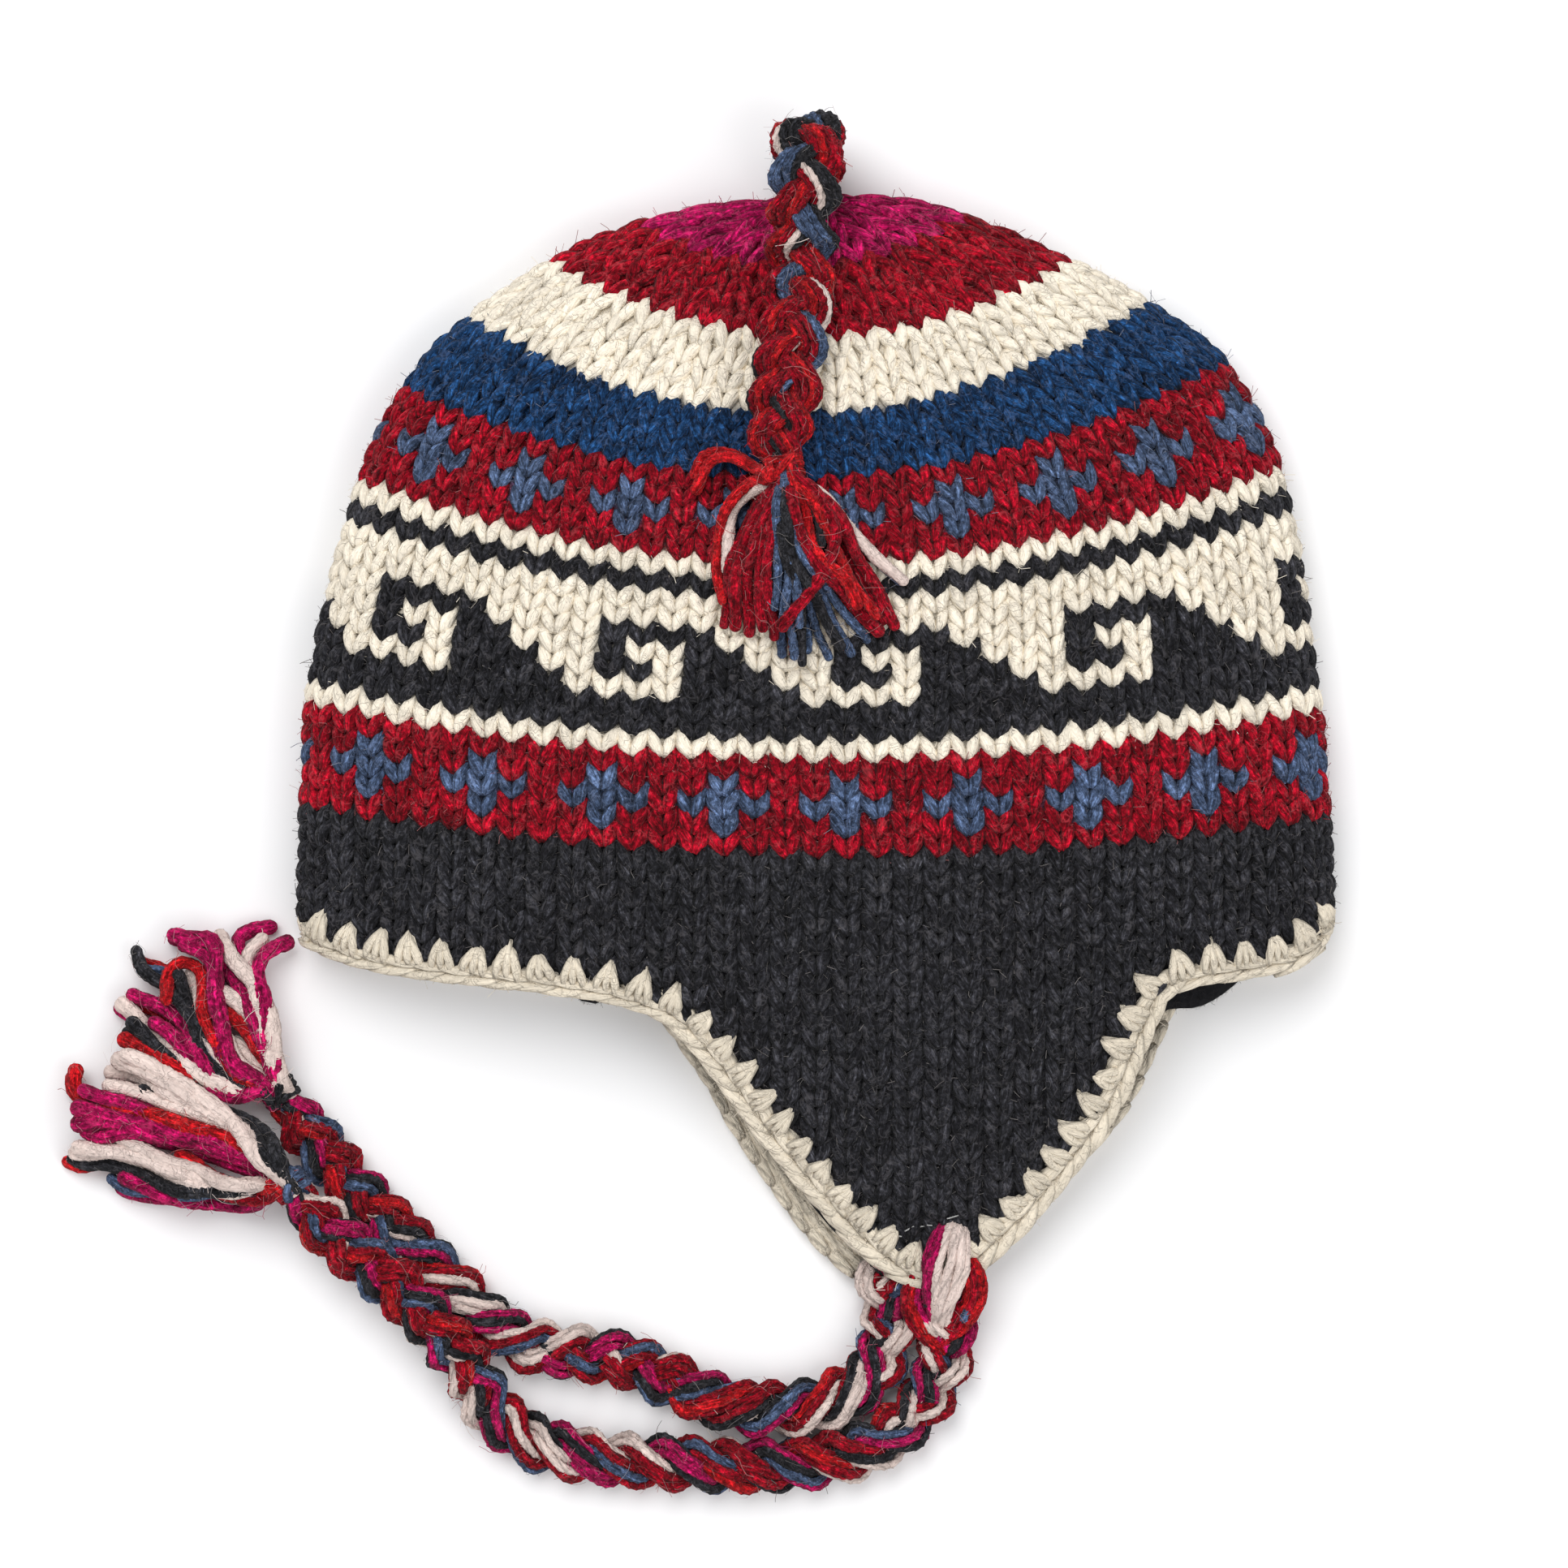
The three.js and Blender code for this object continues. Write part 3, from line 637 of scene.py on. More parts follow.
def braid(name, route, strands, shape, edgewise, floor):
    """edgewise holds shares of the way, and how far the braid turns its edge up there and looks like rope."""
    line = flowing(route, BRAID_STEP)
    side, up = carried_frame(line)
    along = lengths_along(line)
    rope = np.interp(along / along[-1], *edgewise)
    flat = 1 - np.abs(rope)
    neck = np.interp(along, [along[-1] - NECK_LENGTH, along[-1]], [1, NECK_SHARE])
    paths = []
    for k, colours in enumerate(strands):
        pace = along / shape["period"] + k / len(strands)
        phase = 2 * math.pi * pace + UNEVEN_PACE * np.sin(along / UNEVEN_LENGTH + 2 * k)
        for j, colour in enumerate(colours):
            spread = 2 * math.pi * j / len(colours) + STRAND_ROLL * phase + k
            lifted = -shape["lift"] * np.sin(2 * phase) * flat + rope * shape["swing"] * np.cos(phase)
            zigzag = np.sin(phase) - STRAIGHTER * np.sin(3 * phase)
            across = neck * (shape["swing"] * zigzag + shape["bundle"] * np.cos(spread))
            above = neck * (lifted + shape["thick"] * shape["bundle"] * np.sin(spread))
            path = line + across[:, None] * side + above[:, None] * up
            waves = along[:, None] * chance.uniform(*WAVE_PACE, 3) + chance.uniform(*ANY_PHASE, 3)
            path += YARN_WAVE * np.sin(waves)
            lowest = floor(path[:, 0], path[:, 1]) + LYING_SHARE * shape["yarn"]
            path[:, 2] = np.maximum(path[:, 2], lowest)
            paths.append((path, shape["yarn"] * chance.uniform(0.88, 1.1), colour))
    return yarns(name, paths, braid_wool, ply_depth=BRAID_PLY), line * MM


def table_top(x, y):
    return np.zeros(np.shape(x))


def hat_top(x, y):
    return np.where(np.asarray(y) < CROWN_EDGE_Y, upper_height(x, np.minimum(y, CROWN_EDGE_Y)), 0)


UPPER_EDGEWISE = ((0, 0.14, 0.24, 0.62, 0.74, 1), (0, 0, 1, 1, 0, 0))
LOWER_EDGEWISE = ((0, 0.1, 0.2, 0.36, 0.42, 0.52, 0.6, 0.7, 0.8, 1), (0, 0, -1, -1, 0, 0, -1, -1, 0, 0))
TOPKNOT_EDGEWISE = ((0, 1), (0, 0))
upper_tie, upper_tie_line = braid("upper_tie", UPPER_TIE_ROUTE, TIE_STRANDS, TIE_SHAPE,
                                  UPPER_EDGEWISE, table_top)
lower_tie, lower_tie_line = braid("lower_tie", LOWER_TIE_ROUTE, TIE_STRANDS, TIE_SHAPE,
                                  LOWER_EDGEWISE, table_top)
topknot, topknot_line = braid("topknot", TOPKNOT_ROUTE, TOPKNOT_STRANDS, TOPKNOT_SHAPE,
                              TOPKNOT_EDGEWISE, hat_top)

# %% [markdown]
# The upper tie is threaded through its flap: one strand comes out of the knit above the edge, lies over the
# crochet as a leaf of cream yarns and joins the braid, and the other two come round its sides. A line of
# white sewing thread runs across the flap just above it.

# %% Strands over the flap's point and sewing thread
FLAP_STRANDS = [
    (["blush", "blush", "blush", "blush", "magenta", "magenta"], table("x y z half_width", [
        (35.2, -125, 12, 2.2), (35.1, -127, 17.4, 3.6), (34, -133, 19.4, 5.3), (32.9, -140.5, 18.8, 4.2),
        (32.2, -147, 15.4, 1.9), (32.6, -152.5, 9.5, 1.4)])),
    (["bright_red", "red", "bright_red"], table("x y z half_width", [
        (37.6, -132.5, 14.5, 1.2), (40.9, -137.8, 17.2, 1.8), (41, -144, 14.6, 2.1),
        (37.6, -150.5, 12, 1.9), (33, -156, 10, 1.5)])),
    (["magenta", "bright_red", "red"], table("x y z half_width", [
        (28.6, -136.5, 13.5, 1.2), (25.2, -141, 14.6, 1.8), (25.2, -147, 12.4, 2.1), (29.5, -153, 11.0, 1.9),
        (34, -158, 9.4, 1.5)])),
]
FLAP_YARN = 1.55
FLAP_WAVE = 0.3
STRAND_TURN = 0.5
STRAND_ARCH = 0.45
THREAD = [[(16.6, -125.8), (19.5, -127.3), (22.3, -127.7)], [(23.1, -126.4), (25.4, -125)],
          [(27.1, -125.2), (28.1, -125)], [(28.8, -124.8), (30.2, -124.8)], [(34, -123.1), (37, -122.2)]]


def skirt_height(x, y):
    """Height of the upper layer's face below the last whole round, at places seen from above."""
    x, y = np.broadcast_arrays(np.asarray(x, float), np.asarray(y, float))
    sunk = smooth(UPPER_SKIRT_HEIGHTS, "y", "height", np.minimum(y, SKIRT_TOP_Y))
    return FOLD_Z + (sunk - FOLD_Z) * np.sqrt(np.maximum(0, 1 - (x / HEM_HALF_WIDTH) ** 2))


def flap_strands():
    paths = []
    for colours, route in FLAP_STRANDS:
        line = flowing(np.stack([route["x"], route["y"], route["z"]], axis=1), 1.4)
        share = np.linspace(0, 1, len(line))
        half = np.interp(share, np.linspace(0, 1, len(route["x"])), route["half_width"])
        side, up = carried_frame(line)
        for i, colour in enumerate(colours):
            turn = math.pi * (i + 0.5) / len(colours) + STRAND_TURN * (share - 0.4)
            across, above = half * np.cos(turn), STRAND_ARCH * half * np.sin(turn)
            path = line - across[:, None] * side + above[:, None] * up
            path += FLAP_WAVE * np.sin(np.arange(len(path))[:, None] * 0.4 + chance.uniform(*ANY_PHASE, 3))
            paths.append((path, FLAP_YARN * chance.uniform(0.95, 1.08), colour))
    return yarns("flap_strand", paths, braid_wool, ply_depth=BRAID_PLY)


def sewing_thread():
    paths = []
    for places in THREAD:
        points = [(x, y, float(skirt_height(x, y)) + 0.5) for x, y in places]
        paths.append((flowing(points, 0.8), 0.2, "white"))
    return yarns("sewing_thread", paths, edging_wool, sides=5)


strand_over_flap = flap_strands()
thread = sewing_thread()

# %% [markdown]
# Each braid ends in a yarn wound tight around it, and past that winding the strands spread into a tassel.
# The winding is a helix of one yarn. The tassel's yarns start packed in the winding and run out to a fan of
# ends, each with its own bend, and settle on whatever is under them.

# %% Windings
WINDING_TURNS = 2.7
WINDING_RADIUS = 4.1
WINDING_YARN = 1.25
WINDING_LENGTH = 4.6
WINDING_LEAN = 0.9
WINDING_KNOT = table("ahead side up", [
    (-3.2, -2.6, 3.0), (-1.6, -1.4, 5.4), (0.2, 0.4, 6.0), (1.8, 1.8, 5.0), (2.6, 3.0, 2.6)])


def end_frame(line):
    end = line[-1] / MM
    ahead = unit(line[-1] - line[-6])
    side, up = (v[0] for v in carried_frame(np.array([end - ahead, end])))
    return end, ahead, side, up


def winding(name, line, colour):
    """A helix of yarn, and a short end of it knotted over the top."""
    end, ahead, side, up = end_frame(line)
    t = np.linspace(0, 1, 90)
    turn = 2 * math.pi * WINDING_TURNS * t
    lean = WINDING_LEAN * np.sin(turn + 1) * np.sin(3 * t)
    path = end + ahead * (WINDING_LENGTH * (t - 0.6) + lean)[:, None]
    path = path + WINDING_RADIUS * (np.cos(turn)[:, None] * side + np.sin(turn)[:, None] * up)
    knot = [end + ahead * a + side * s + up * u for a, s, u in zip(*WINDING_KNOT.values())]
    paths = [(path, WINDING_YARN, colour), (flowing(knot, 0.8), 1.1 * WINDING_YARN, colour)]
    for points, radius, _ in paths:
        points[:, 2] = np.maximum(points[:, 2], LYING_SHARE * radius)
    return yarns(name, paths, braid_wool)


upper_winding = winding("upper_tie_winding", upper_tie_line, "denim")
lower_winding = winding("lower_tie_winding", lower_tie_line, "charcoal")
topknot_winding = winding("topknot_winding", topknot_line, "bright_red")

# %% Tassels
TASSEL_RADII = {"blush": 2.05, "magenta": 2.05, "charcoal": 1.75, "red": 1.9, "bright_red": 1.85,
                "denim": 1.5}
TASSEL_PLY = 0.05
TASSEL_STEP = 1.7
HEAP_CELL = 1.0
SUNK_SHARE = 0.05
PACKED_LENGTH = 5.0
LOOSE_LENGTH = 16.0
HIGHEST_LIFT = 10.0
PACK_HALF = 3.6
SHOULDER = 8.0
SHOULDER_SHARE = 0.6
UPPER_FAN = [
    ("denim", (-159, -116.8), (-171, -117.2), (-180, -115.7), (-184, -113.6)),
    ("magenta", (-145, -119.3), (-153, -120.6), (-162, -118.9), (-171, -117.2), (-180, -112.6)),
    ("charcoal", (-156, -116.4), (-166, -115.7), (-175, -112.6), (-185, -109.4), (-190, -110.1),
     (-194, -108.4)),
    ("blush", (-154, -115.9), (-164, -113.2), (-173, -109.6), (-184, -107.3), (-193, -106.9)),
    ("blush", (-155, -114.3), (-166, -110.9), (-175, -107.5), (-185, -105.6), (-192, -105.2)),
    ("blush", (-159, -111.3), (-169, -108), (-178, -104.2), (-185, -101)),
    ("magenta", (-143, -112.2), (-151, -109.2), (-159, -106.3), (-168, -104), (-177, -101.2),
     (-186, -102.1), (-190, -100.8)),
    ("magenta", (-144, -110.1), (-153, -105.9), (-164, -103.1), (-174, -100.6), (-184, -98.3), (-192, -98.7)),
    ("bright_red", (-143, -107.5), (-153, -102.1), (-165, -98.5), (-175, -95.8), (-185, -93.7),
     (-191, -91.6), (-193, -88.6), (-193, -84.9)),
    ("magenta", (-144, -108.4), (-154, -104), (-165, -101), (-176, -98.1), (-185, -96.2), (-192, -94.9)),
    ("red", (-142, -117.4), (-148, -118), (-155, -116.4), (-160, -113.6), (-164, -109.6)),
    ("bright_red", (-143, -115.5), (-151, -114.7), (-158, -111.7), (-162, -108.8), (-165, -107.3)),
    ("blush", (-148, -100.8), (-159, -96.6), (-168, -93.5), (-176, -90.7), (-184, -89.1)),
    ("blush", (-149, -100), (-159, -95.1), (-168, -90.5), (-176, -87.2), (-184, -85.7)),
    ("blush", (-150, -99.3), (-159, -93.7), (-168, -88.4), (-176, -84.2), (-182, -82.3)),
    ("blush", (-151, -98.3), (-159, -91.8), (-167, -86.5), (-173, -83.2), (-179, -81.3)),
    ("magenta", (-144, -107.1), (-154, -102.5), (-166, -98.9), (-177, -94.7), (-185, -91.8), (-190, -90.1)),
    ("bright_red", (-141, -109.8), (-148, -105.6), (-158, -102.4), (-168, -99.3), (-176, -96.8)),
    ("red", (-142, -107.9), (-149, -103.7), (-159, -100.5), (-168, -97.6), (-177, -94.6), (-185, -91.5)),
    ("charcoal", (-147, -100), (-158, -96.4), (-168, -93.7), (-175, -90.1)),
    ("blush", (-143, -103.8), (-151, -100.4), (-159, -97.2), (-166, -93.7)),
    ("charcoal", (-141, -103.3), (-147, -99.3), (-155, -96), (-161, -92.8)),
    ("charcoal", (-142, -101.7), (-148, -98.1), (-155, -94.9), (-162, -91.8), (-167, -89.7)),
]
LOWER_FAN = [
    ("denim", (-148, -88), (-158, -78.6), (-164, -66.4), (-169, -60.5), (-176, -58.8)),
    ("charcoal", (-148, -87), (-159, -74.8), (-168, -64.3), (-175, -58.8), (-177, -54.2)),
    ("blush", (-151, -90.1), (-162, -84.2), (-170, -78.1), (-177, -71.2), (-181, -68.1)),
    ("charcoal", (-148, -90.3), (-161, -86.1), (-169, -80.9), (-174, -75.8), (-178, -72.7)),
    ("bright_red", (-150, -90.7), (-162, -85.3), (-171, -81.5), (-176, -79), (-180, -76.7)),
    ("magenta", (-142, -80.7), (-146, -68.1), (-149, -57.6), (-151, -51.3), (-147, -48.5), (-142, -47.7)),
    ("blush", (-142, -78.6), (-146, -62.8), (-148, -55.9), (-144, -51.3)),
    ("magenta", (-141, -80.7), (-143, -68.1), (-145, -60.1), (-143, -55), (-138, -51.9)),
    ("magenta", (-143, -80.7), (-147, -69.3), (-151, -61.8), (-154, -58.4)),
    ("blush", (-142, -80.7), (-145, -73.5), (-148, -68.9), (-154, -64.7)),
    ("bright_red", (-141, -84.4), (-145, -78.8), (-149, -73.9), (-153, -70.2)),
    ("blush", (-142, -86.5), (-146, -83.2), (-148, -80.7), (-151, -78.1)),
    ("blush", (-144, -87.4), (-148, -84.4), (-151, -81.1), (-153, -77.3)),
    ("blush", (-139, -85.3), (-141, -77.3), (-142, -69.7), (-146, -61.8), (-152, -55.7), (-155, -50)),
    ("magenta", (-151, -82.8), (-155, -70.2), (-156, -59.7), (-157, -51.3), (-162, -50.8), (-167, -50)),
    ("blush", (-148, -87), (-157, -79), (-160, -68.5), (-163, -59.7)),
    ("magenta", (-150, -85.3), (-155, -78.6), (-155, -69.1), (-156, -59.7), (-159, -54.6), (-164, -52.5)),
    ("bright_red", (-150, -85.9), (-156, -77.5), (-159, -70.6), (-159, -63.4), (-161, -58.4),
     (-165, -56.7), (-168, -60.1), (-169, -66.8)),
    ("magenta", (-148, -90.1), (-156, -88.2), (-161, -79.8), (-164, -73.5), (-170, -69.1), (-178, -65.3)),
    ("magenta", (-149, -91.6), (-156, -89.9), (-161, -84), (-166, -77.3), (-172, -72.7)),
    ("charcoal", (-147, -88.6), (-155, -84), (-159, -80.2), (-161, -72.7), (-164, -65.1), (-166, -60.1)),
    ("charcoal", (-144, -90.3), (-151, -87.8), (-157, -84), (-160, -78.6), (-162, -70.6)),
]
TOPKNOT_FAN = [
    ("blush", (-16.5, 64), (-22, 57), (-22.5, 44)), ("blush", (-12, 60), (-15.5, 51), (-13, 30)),
    ("denim", (-9, 52), (-8, 40), (-5.7, 22)), ("denim", (-7, 50), (-3, 38), (3, 21.7)),
    ("charcoal", (-8, 48), (-4, 34), (-3.8, 20.5)), ("denim", (-5, 52), (1, 38), (8.7, 22.5)),
    ("denim", (-5, 50), (2, 40), (12.9, 26)), ("red", (-4, 52), (5, 40), (16, 28.2)),
    ("charcoal", (-6, 48), (0, 36), (6, 24.5)), ("denim", (-9.5, 52), (-10.7, 42), (-8.6, 22.5)),
    ("blush", (3.5, 61), (10, 52.5), (17.2, 45.4), (22.2, 41)), ("red", (-15, 60), (-21, 48), (-23.3, 30.3)),
    ("red", (-14, 59), (-19.5, 47), (-20.8, 29.6)), ("red", (-12, 58), (-17, 46.8), (-17.2, 28.2)),
    ("red", (-10.5, 58), (-14.5, 46), (-13.6, 28.9)), ("red", (-9.5, 58), (-12.5, 47), (-10.7, 26.8)),
    ("denim", (-9, 58), (-9.5, 48), (-10.5, 34)), ("denim", (-7.5, 58), (-7, 47), (-8, 30)),
    ("denim", (-6.5, 57), (-5, 46), (-4.5, 30)), ("charcoal", (0, 60), (5, 48), (13.5, 34.5)),
    ("red", (4.5, 59), (10, 48.2), (15.7, 38.2), (20.2, 29.6)), ("bright_red", (1, 58), (6, 46), (15, 32)),
    ("charcoal", (-3, 64), (0.5, 57), (1.5, 50)),
    ("bright_red", (-3.5, 62), (-2, 53), (2, 46), (8, 40), (10.5, 35)),
    ("red", (0.5, 62), (4.5, 55), (2.8, 45), (-8.6, 29.5)),
    ("bright_red", (-16, 66.5), (-23, 59), (-25.3, 49.7), (-24, 36)),
    ("bright_red", (-15, 69.5), (-21, 72.8), (-27, 71.5), (-30.4, 64.7)),
]


FILLING_MOVE = 2.5
FILLING_CUT = (0.1, 0.5)
COLOUR_STEP, COLOUR_START = 5, 3
TASSEL_WAVE = 0.25
SIDE_REACH = 12
DROOP = 0.55
END_RINGS = (0.45, 0.75)
END_TAPER = (0.98, 0.8, 0.4)
NECK_TAPER = ((0, 0.05, 0.2), (0.6, 0.75, 1))


def filling(fan):
    """Yarns under the listed ones, a little shorter, with their coloured yarns in another order."""
    coloured = [colour for colour, *_ in fan if colour != "blush"]
    more = []
    for i, (_, *places) in enumerate(fan[::2]):
        move = chance.uniform(-FILLING_MOVE, FILLING_MOVE, 2)
        spots = [tuple(np.array(p) + move * (n + 1) / len(places)) for n, p in enumerate(places)]
        shorter = (np.array(spots[-2]) - spots[-1]) * chance.uniform(*FILLING_CUT)
        spots[-1] = tuple(np.array(spots[-1]) + shorter)
        more.append((coloured[(i * COLOUR_STEP + COLOUR_START) % len(coloured)], *spots))
    return more


def neighbours(values, reach):
    """The values moved by each number of places up to reach, with the end values carried on."""
    wide = np.pad(values, reach, mode="edge")
    return [wide[k:k + len(values)] for k in range(2 * reach + 1)]


def laid_over(path, radius, heap):
    """Lifts a yarn over the ones laid before it. heap holds their heights. In the winding all stay packed."""
    along = lengths_along(path)
    cells = np.round(path[:, :2] / HEAP_CELL).astype(int)
    below = np.array([heap.get(tuple(cell), -1.0) for cell in cells])
    free = np.clip((along - PACKED_LENGTH) / (LOOSE_LENGTH - PACKED_LENGTH), 0, 1)
    lift = free * np.clip(below + (1 - SUNK_SHARE) * radius - path[:, 2], 0, HIGHEST_LIFT)
    lift = np.max(neighbours(lift, 2), axis=0)
    path[:, 2] += np.mean(neighbours(lift, 3), axis=0)
    reach = int(radius / HEAP_CELL)
    for (column, row), height in zip(cells, path[:, 2]):
        for i in range(-reach, reach + 1):
            for j in range(-reach, reach + 1):
                top = height + math.sqrt(max(0, radius**2 - (i * i + j * j) * HEAP_CELL**2))
                spot = (column + i, row + j)
                heap[spot] = max(heap.get(spot, -1.0), top)
    return path


def rounded_end(path, radius):
    """Closes a yarn's free end with two smaller rings."""
    ahead = unit(path[-1] - path[-2])
    path = np.vstack([path, *(path[-1] + step * radius * ahead for step in END_RINGS)])
    taper = np.interp(np.linspace(0, 1, len(path)), *NECK_TAPER)
    taper[-len(END_TAPER):] = END_TAPER
    return path, radius * taper


def tassel(name, line, fan, size, floor):
    """Yarns are listed from the lowest to the topmost, each with the places it passes, seen from above."""
    end, ahead, side, up = end_frame(line)
    fan = filling(fan) + fan
    paths = []
    heap = {}
    for i, (colour, *places) in enumerate(fan):
        radius = TASSEL_RADII[colour] * size * chance.uniform(0.9, 1.1)
        first = np.array([*places[0], end[2]]) - end
        level = PACK_HALF * (2 * i / len(fan) - 1)
        start = end + PACK_HALF * unit(first).dot(side) * side + level * up
        points = [start - 3 * ahead, start + 2 * ahead]
        if np.dot(first, ahead) > 1.6 * SHOULDER:
            sideways = SHOULDER_SHARE * np.clip(np.dot(first, side), -SIDE_REACH, SIDE_REACH)
            points.append(start + SHOULDER * ahead + sideways * side)
        for n, (x, y) in enumerate(places):
            share = (n + 1) / len(places)
            rest = float(floor(x, y)) + LYING_SHARE * radius
            points.append((x, y, max(rest, rest + (end[2] - rest) * DROOP * (1 - share) ** 1.5)))
        path = flowing(points, TASSEL_STEP)
        path += TASSEL_WAVE * np.sin(np.arange(len(path))[:, None] * 0.6 + chance.uniform(*ANY_PHASE, 3))
        path[:, 2] = np.maximum(path[:, 2], floor(path[:, 0], path[:, 1]) + 1.15 * radius)
        path, radii = rounded_end(laid_over(path, radius, heap), radius)
        paths.append((path, radii, colour))
    return yarns(name, paths, tassel_wool, ply_depth=TASSEL_PLY)


upper_tassel = tassel("upper_tie_tassel_yarns", upper_tie_line, UPPER_FAN, 1.08, table_top)
lower_tassel = tassel("lower_tie_tassel_yarns", lower_tie_line, LOWER_FAN, 1.08, table_top)
topknot_tassel = tassel("topknot_tassel_yarns", topknot_line, TOPKNOT_FAN, 0.88, hat_top)

# %% [markdown]
# The hat is knitted in stocking stitch: each stitch shows as a V of two plump legs, and the point of every V
# covers the tops of the one below. A bump map would look flat at the edges of the hat, so every stitch is
# real: a small mesh with two legs, made in a few uneven versions, and in plainer ones for the side that the
# hat lies on. The legs carry fibre coordinates too.

# %% One stitch
STITCH_WIDTH = 7.7
STITCH_HEIGHT = 5.1
FINE_LEG = {"versions": 5, "sides": 6, "rings": 8}
PLAIN_LEG = {"versions": 3, "sides": 4, "rings": 5}
LEG = [(0.55, -3.5, 0.15), (1.25, -1.7, 0.75), (2.0, 0.3, 0.6), (2.65, 2.3, -0.5), (3.0, 3.9, -2.0)]
LEG_RADII = [1.05, 1.68, 1.85, 1.68, 1.15]


def legs_mesh(name, legs, sides, rings):
    """A mesh of short closed tubes. Each leg is (points, radii) in mm."""
    points, faces, places = [], [], []
    for line, radii in legs:
        fine = flowing(line, 0.1)
        centre = fine[np.linspace(0, len(fine) - 1, rings).round().astype(int)]
        share = np.linspace(0, 1, rings)
        radius = np.interp(share, np.linspace(0, 1, len(radii)), radii)
        side, up = carried_frame(centre)
        start = len(points)
        for ring in range(rings):
            for k in range(sides):
                turn = 2 * math.pi * k / sides
                way = math.cos(turn) * side[ring] + math.sin(turn) * up[ring]
                points.append(centre[ring] + radius[ring] * way)
                places.append((math.cos(turn - share[ring]), math.sin(turn - share[ring]), 5 * share[ring]))
        for ring in range(rings - 1):
            for k in range(sides):
                a = start + ring * sides + k
                b = start + ring * sides + (k + 1) % sides
                faces.append((a, b, b + sides, a + sides))
        faces.append(tuple(range(start + sides - 1, start - 1, -1)))
        last = start + (rings - 1) * sides
        faces.append(tuple(range(last, last + sides)))
    made = mesh_object(name, points, faces=faces, fibre_at=places)
    bpy.context.scene.collection.objects.unlink(made)
    return made


def stitch_set(name, *kinds):
    """A collection of small meshes. A kind is the function that gives its legs, and how fine they are."""
    group = bpy.data.collections.new(name)
    for legs_of, make in kinds:
        for _ in range(make["versions"]):
            label = f"{name}_{len(group.objects)}"
            group.objects.link(legs_mesh(label, legs_of(), make["sides"], make["rings"]))
    return group


def knit_legs():
    legs = []
    for way in (1, -1):
        uneven = chance.normal(0, 0.16, (len(LEG), 3))
        line = (np.array(LEG) + uneven) * (way, 1, 1)
        legs.append((line, np.array(LEG_RADII) * chance.uniform(0.93, 1.08)))
    return legs


knit_stitches = stitch_set("knit_stitch", (knit_legs, FINE_LEG), (knit_legs, PLAIN_LEG))

# %% The tree that lays stitches on a surface
def laid_stitches_tree():
    tree = modifier_tree("laid_stitches")
    given = group_inputs(tree, [("Stitches", "Collection", None), ("Material", "Material", None)])
    versions = linked(tree, "GeometryNodeCollectionInfo", [("Collection", given["Stitches"]),
                      ("Separate Children", True), ("Reset Children", True)]).outputs[0]
    ways = [(0, attribute(tree, "out_way", "FLOAT_VECTOR")), (1, attribute(tree, "up_way", "FLOAT_VECTOR"))]
    turned = linked(tree, "FunctionNodeAxesToRotation", ways, primary_axis="Z", secondary_axis="Y").outputs[0]
    laid = linked(tree, "GeometryNodeInstanceOnPoints", [
        ("Points", given["Geometry"]), ("Instance", versions), ("Pick Instance", True),
        ("Instance Index", attribute(tree, "stitch_version", "INT")), ("Rotation", turned),
        ("Scale", attribute(tree, "stitch_size", "FLOAT_VECTOR"))]).outputs[0]
    return finished(tree, laid, given["Material"])


LAID_STITCHES = laid_stitches_tree()
print("tree:", LAID_STITCHES.name)

# %% [markdown]
# The colours follow a chart, read from the crown's tip to the hem: plain bands, two bands of small crosses
# on red and a running wave in cream and charcoal. The crown narrows in nine wedges, so its rounds have
# fewer stitches towards the tip.

# %% Colour chart
WEDGES = 9
CROWN_STITCHES = [1, 2, 2, 3, 3, 4, 4, 5, 5, 6, 6, 6, 7, 7, 7, 8]
CROWN_BANDS = ["magenta"] * 4 + ["red"] * 4 + ["cream"] * 4 + ["blue"] * 4
CROSS = ["....", ".#..", "###.", ".#..", "...."]
WAVE = ["wwwwwwww", "gggggggg", "wwwwwwww", "wwwwwwww", "wggggwww", "wgwwggww", "wggwgggw", "wwwwgggg",
        "gggggggg", "gggggggg", "wwwwwwww"]
CROSS_ROWS = (16, 32)
WAVE_ROW = 21


def yarn_for(row, column):
    if row < len(CROWN_BANDS):
        return CROWN_BANDS[row]
    for first in CROSS_ROWS:
        if first <= row < first + len(CROSS):
            return "denim" if CROSS[row - first][column % 4] == "#" else "red"
    if WAVE_ROW <= row < WAVE_ROW + len(WAVE):
        return "cream" if WAVE[row - WAVE_ROW][column % 8] == "w" else "charcoal"
    return "charcoal"


def stitches_in(row):
    return WEDGES * (CROWN_STITCHES[row] if row < len(CROWN_STITCHES) else 8)


print("stitches in the widest round:", stitches_in(LAST_ROUND))

# %% Places of the stitches
SKIRT_ROW_HEIGHT = 5.0
CROWN_FULLNESS = 1.12
SKIRT_ROWS = 24
STITCH_DEPTH = 1.75
UNDERSIDE_DEPTH = 1.6
UNDERSIDE_WAY = -0.3
PALE_GREEN = 0.4
PALE_VARIES = 0.07
DARK_VARIES = 0.2
HEM_MARGIN = 0.15
TIP_ROW = 0.12
LEAST_HEIGHT = 0.9
UNEVEN_WAY = 0.045
UNEVEN_PLACE = 0.15
FINE_ANGLES = np.linspace(math.pi / 2, math.pi / 2 - 2 * math.pi, 1441)


def angles_at(row, shares):
    """Angles at shares of a round's own length, from the upper middle to the right."""
    loop = face(FINE_ANGLES, min(row, LAST_ROUND))
    length = lengths_along(loop)
    return np.interp(np.mod(shares, 1) * length[-1], length, FINE_ANGLES)


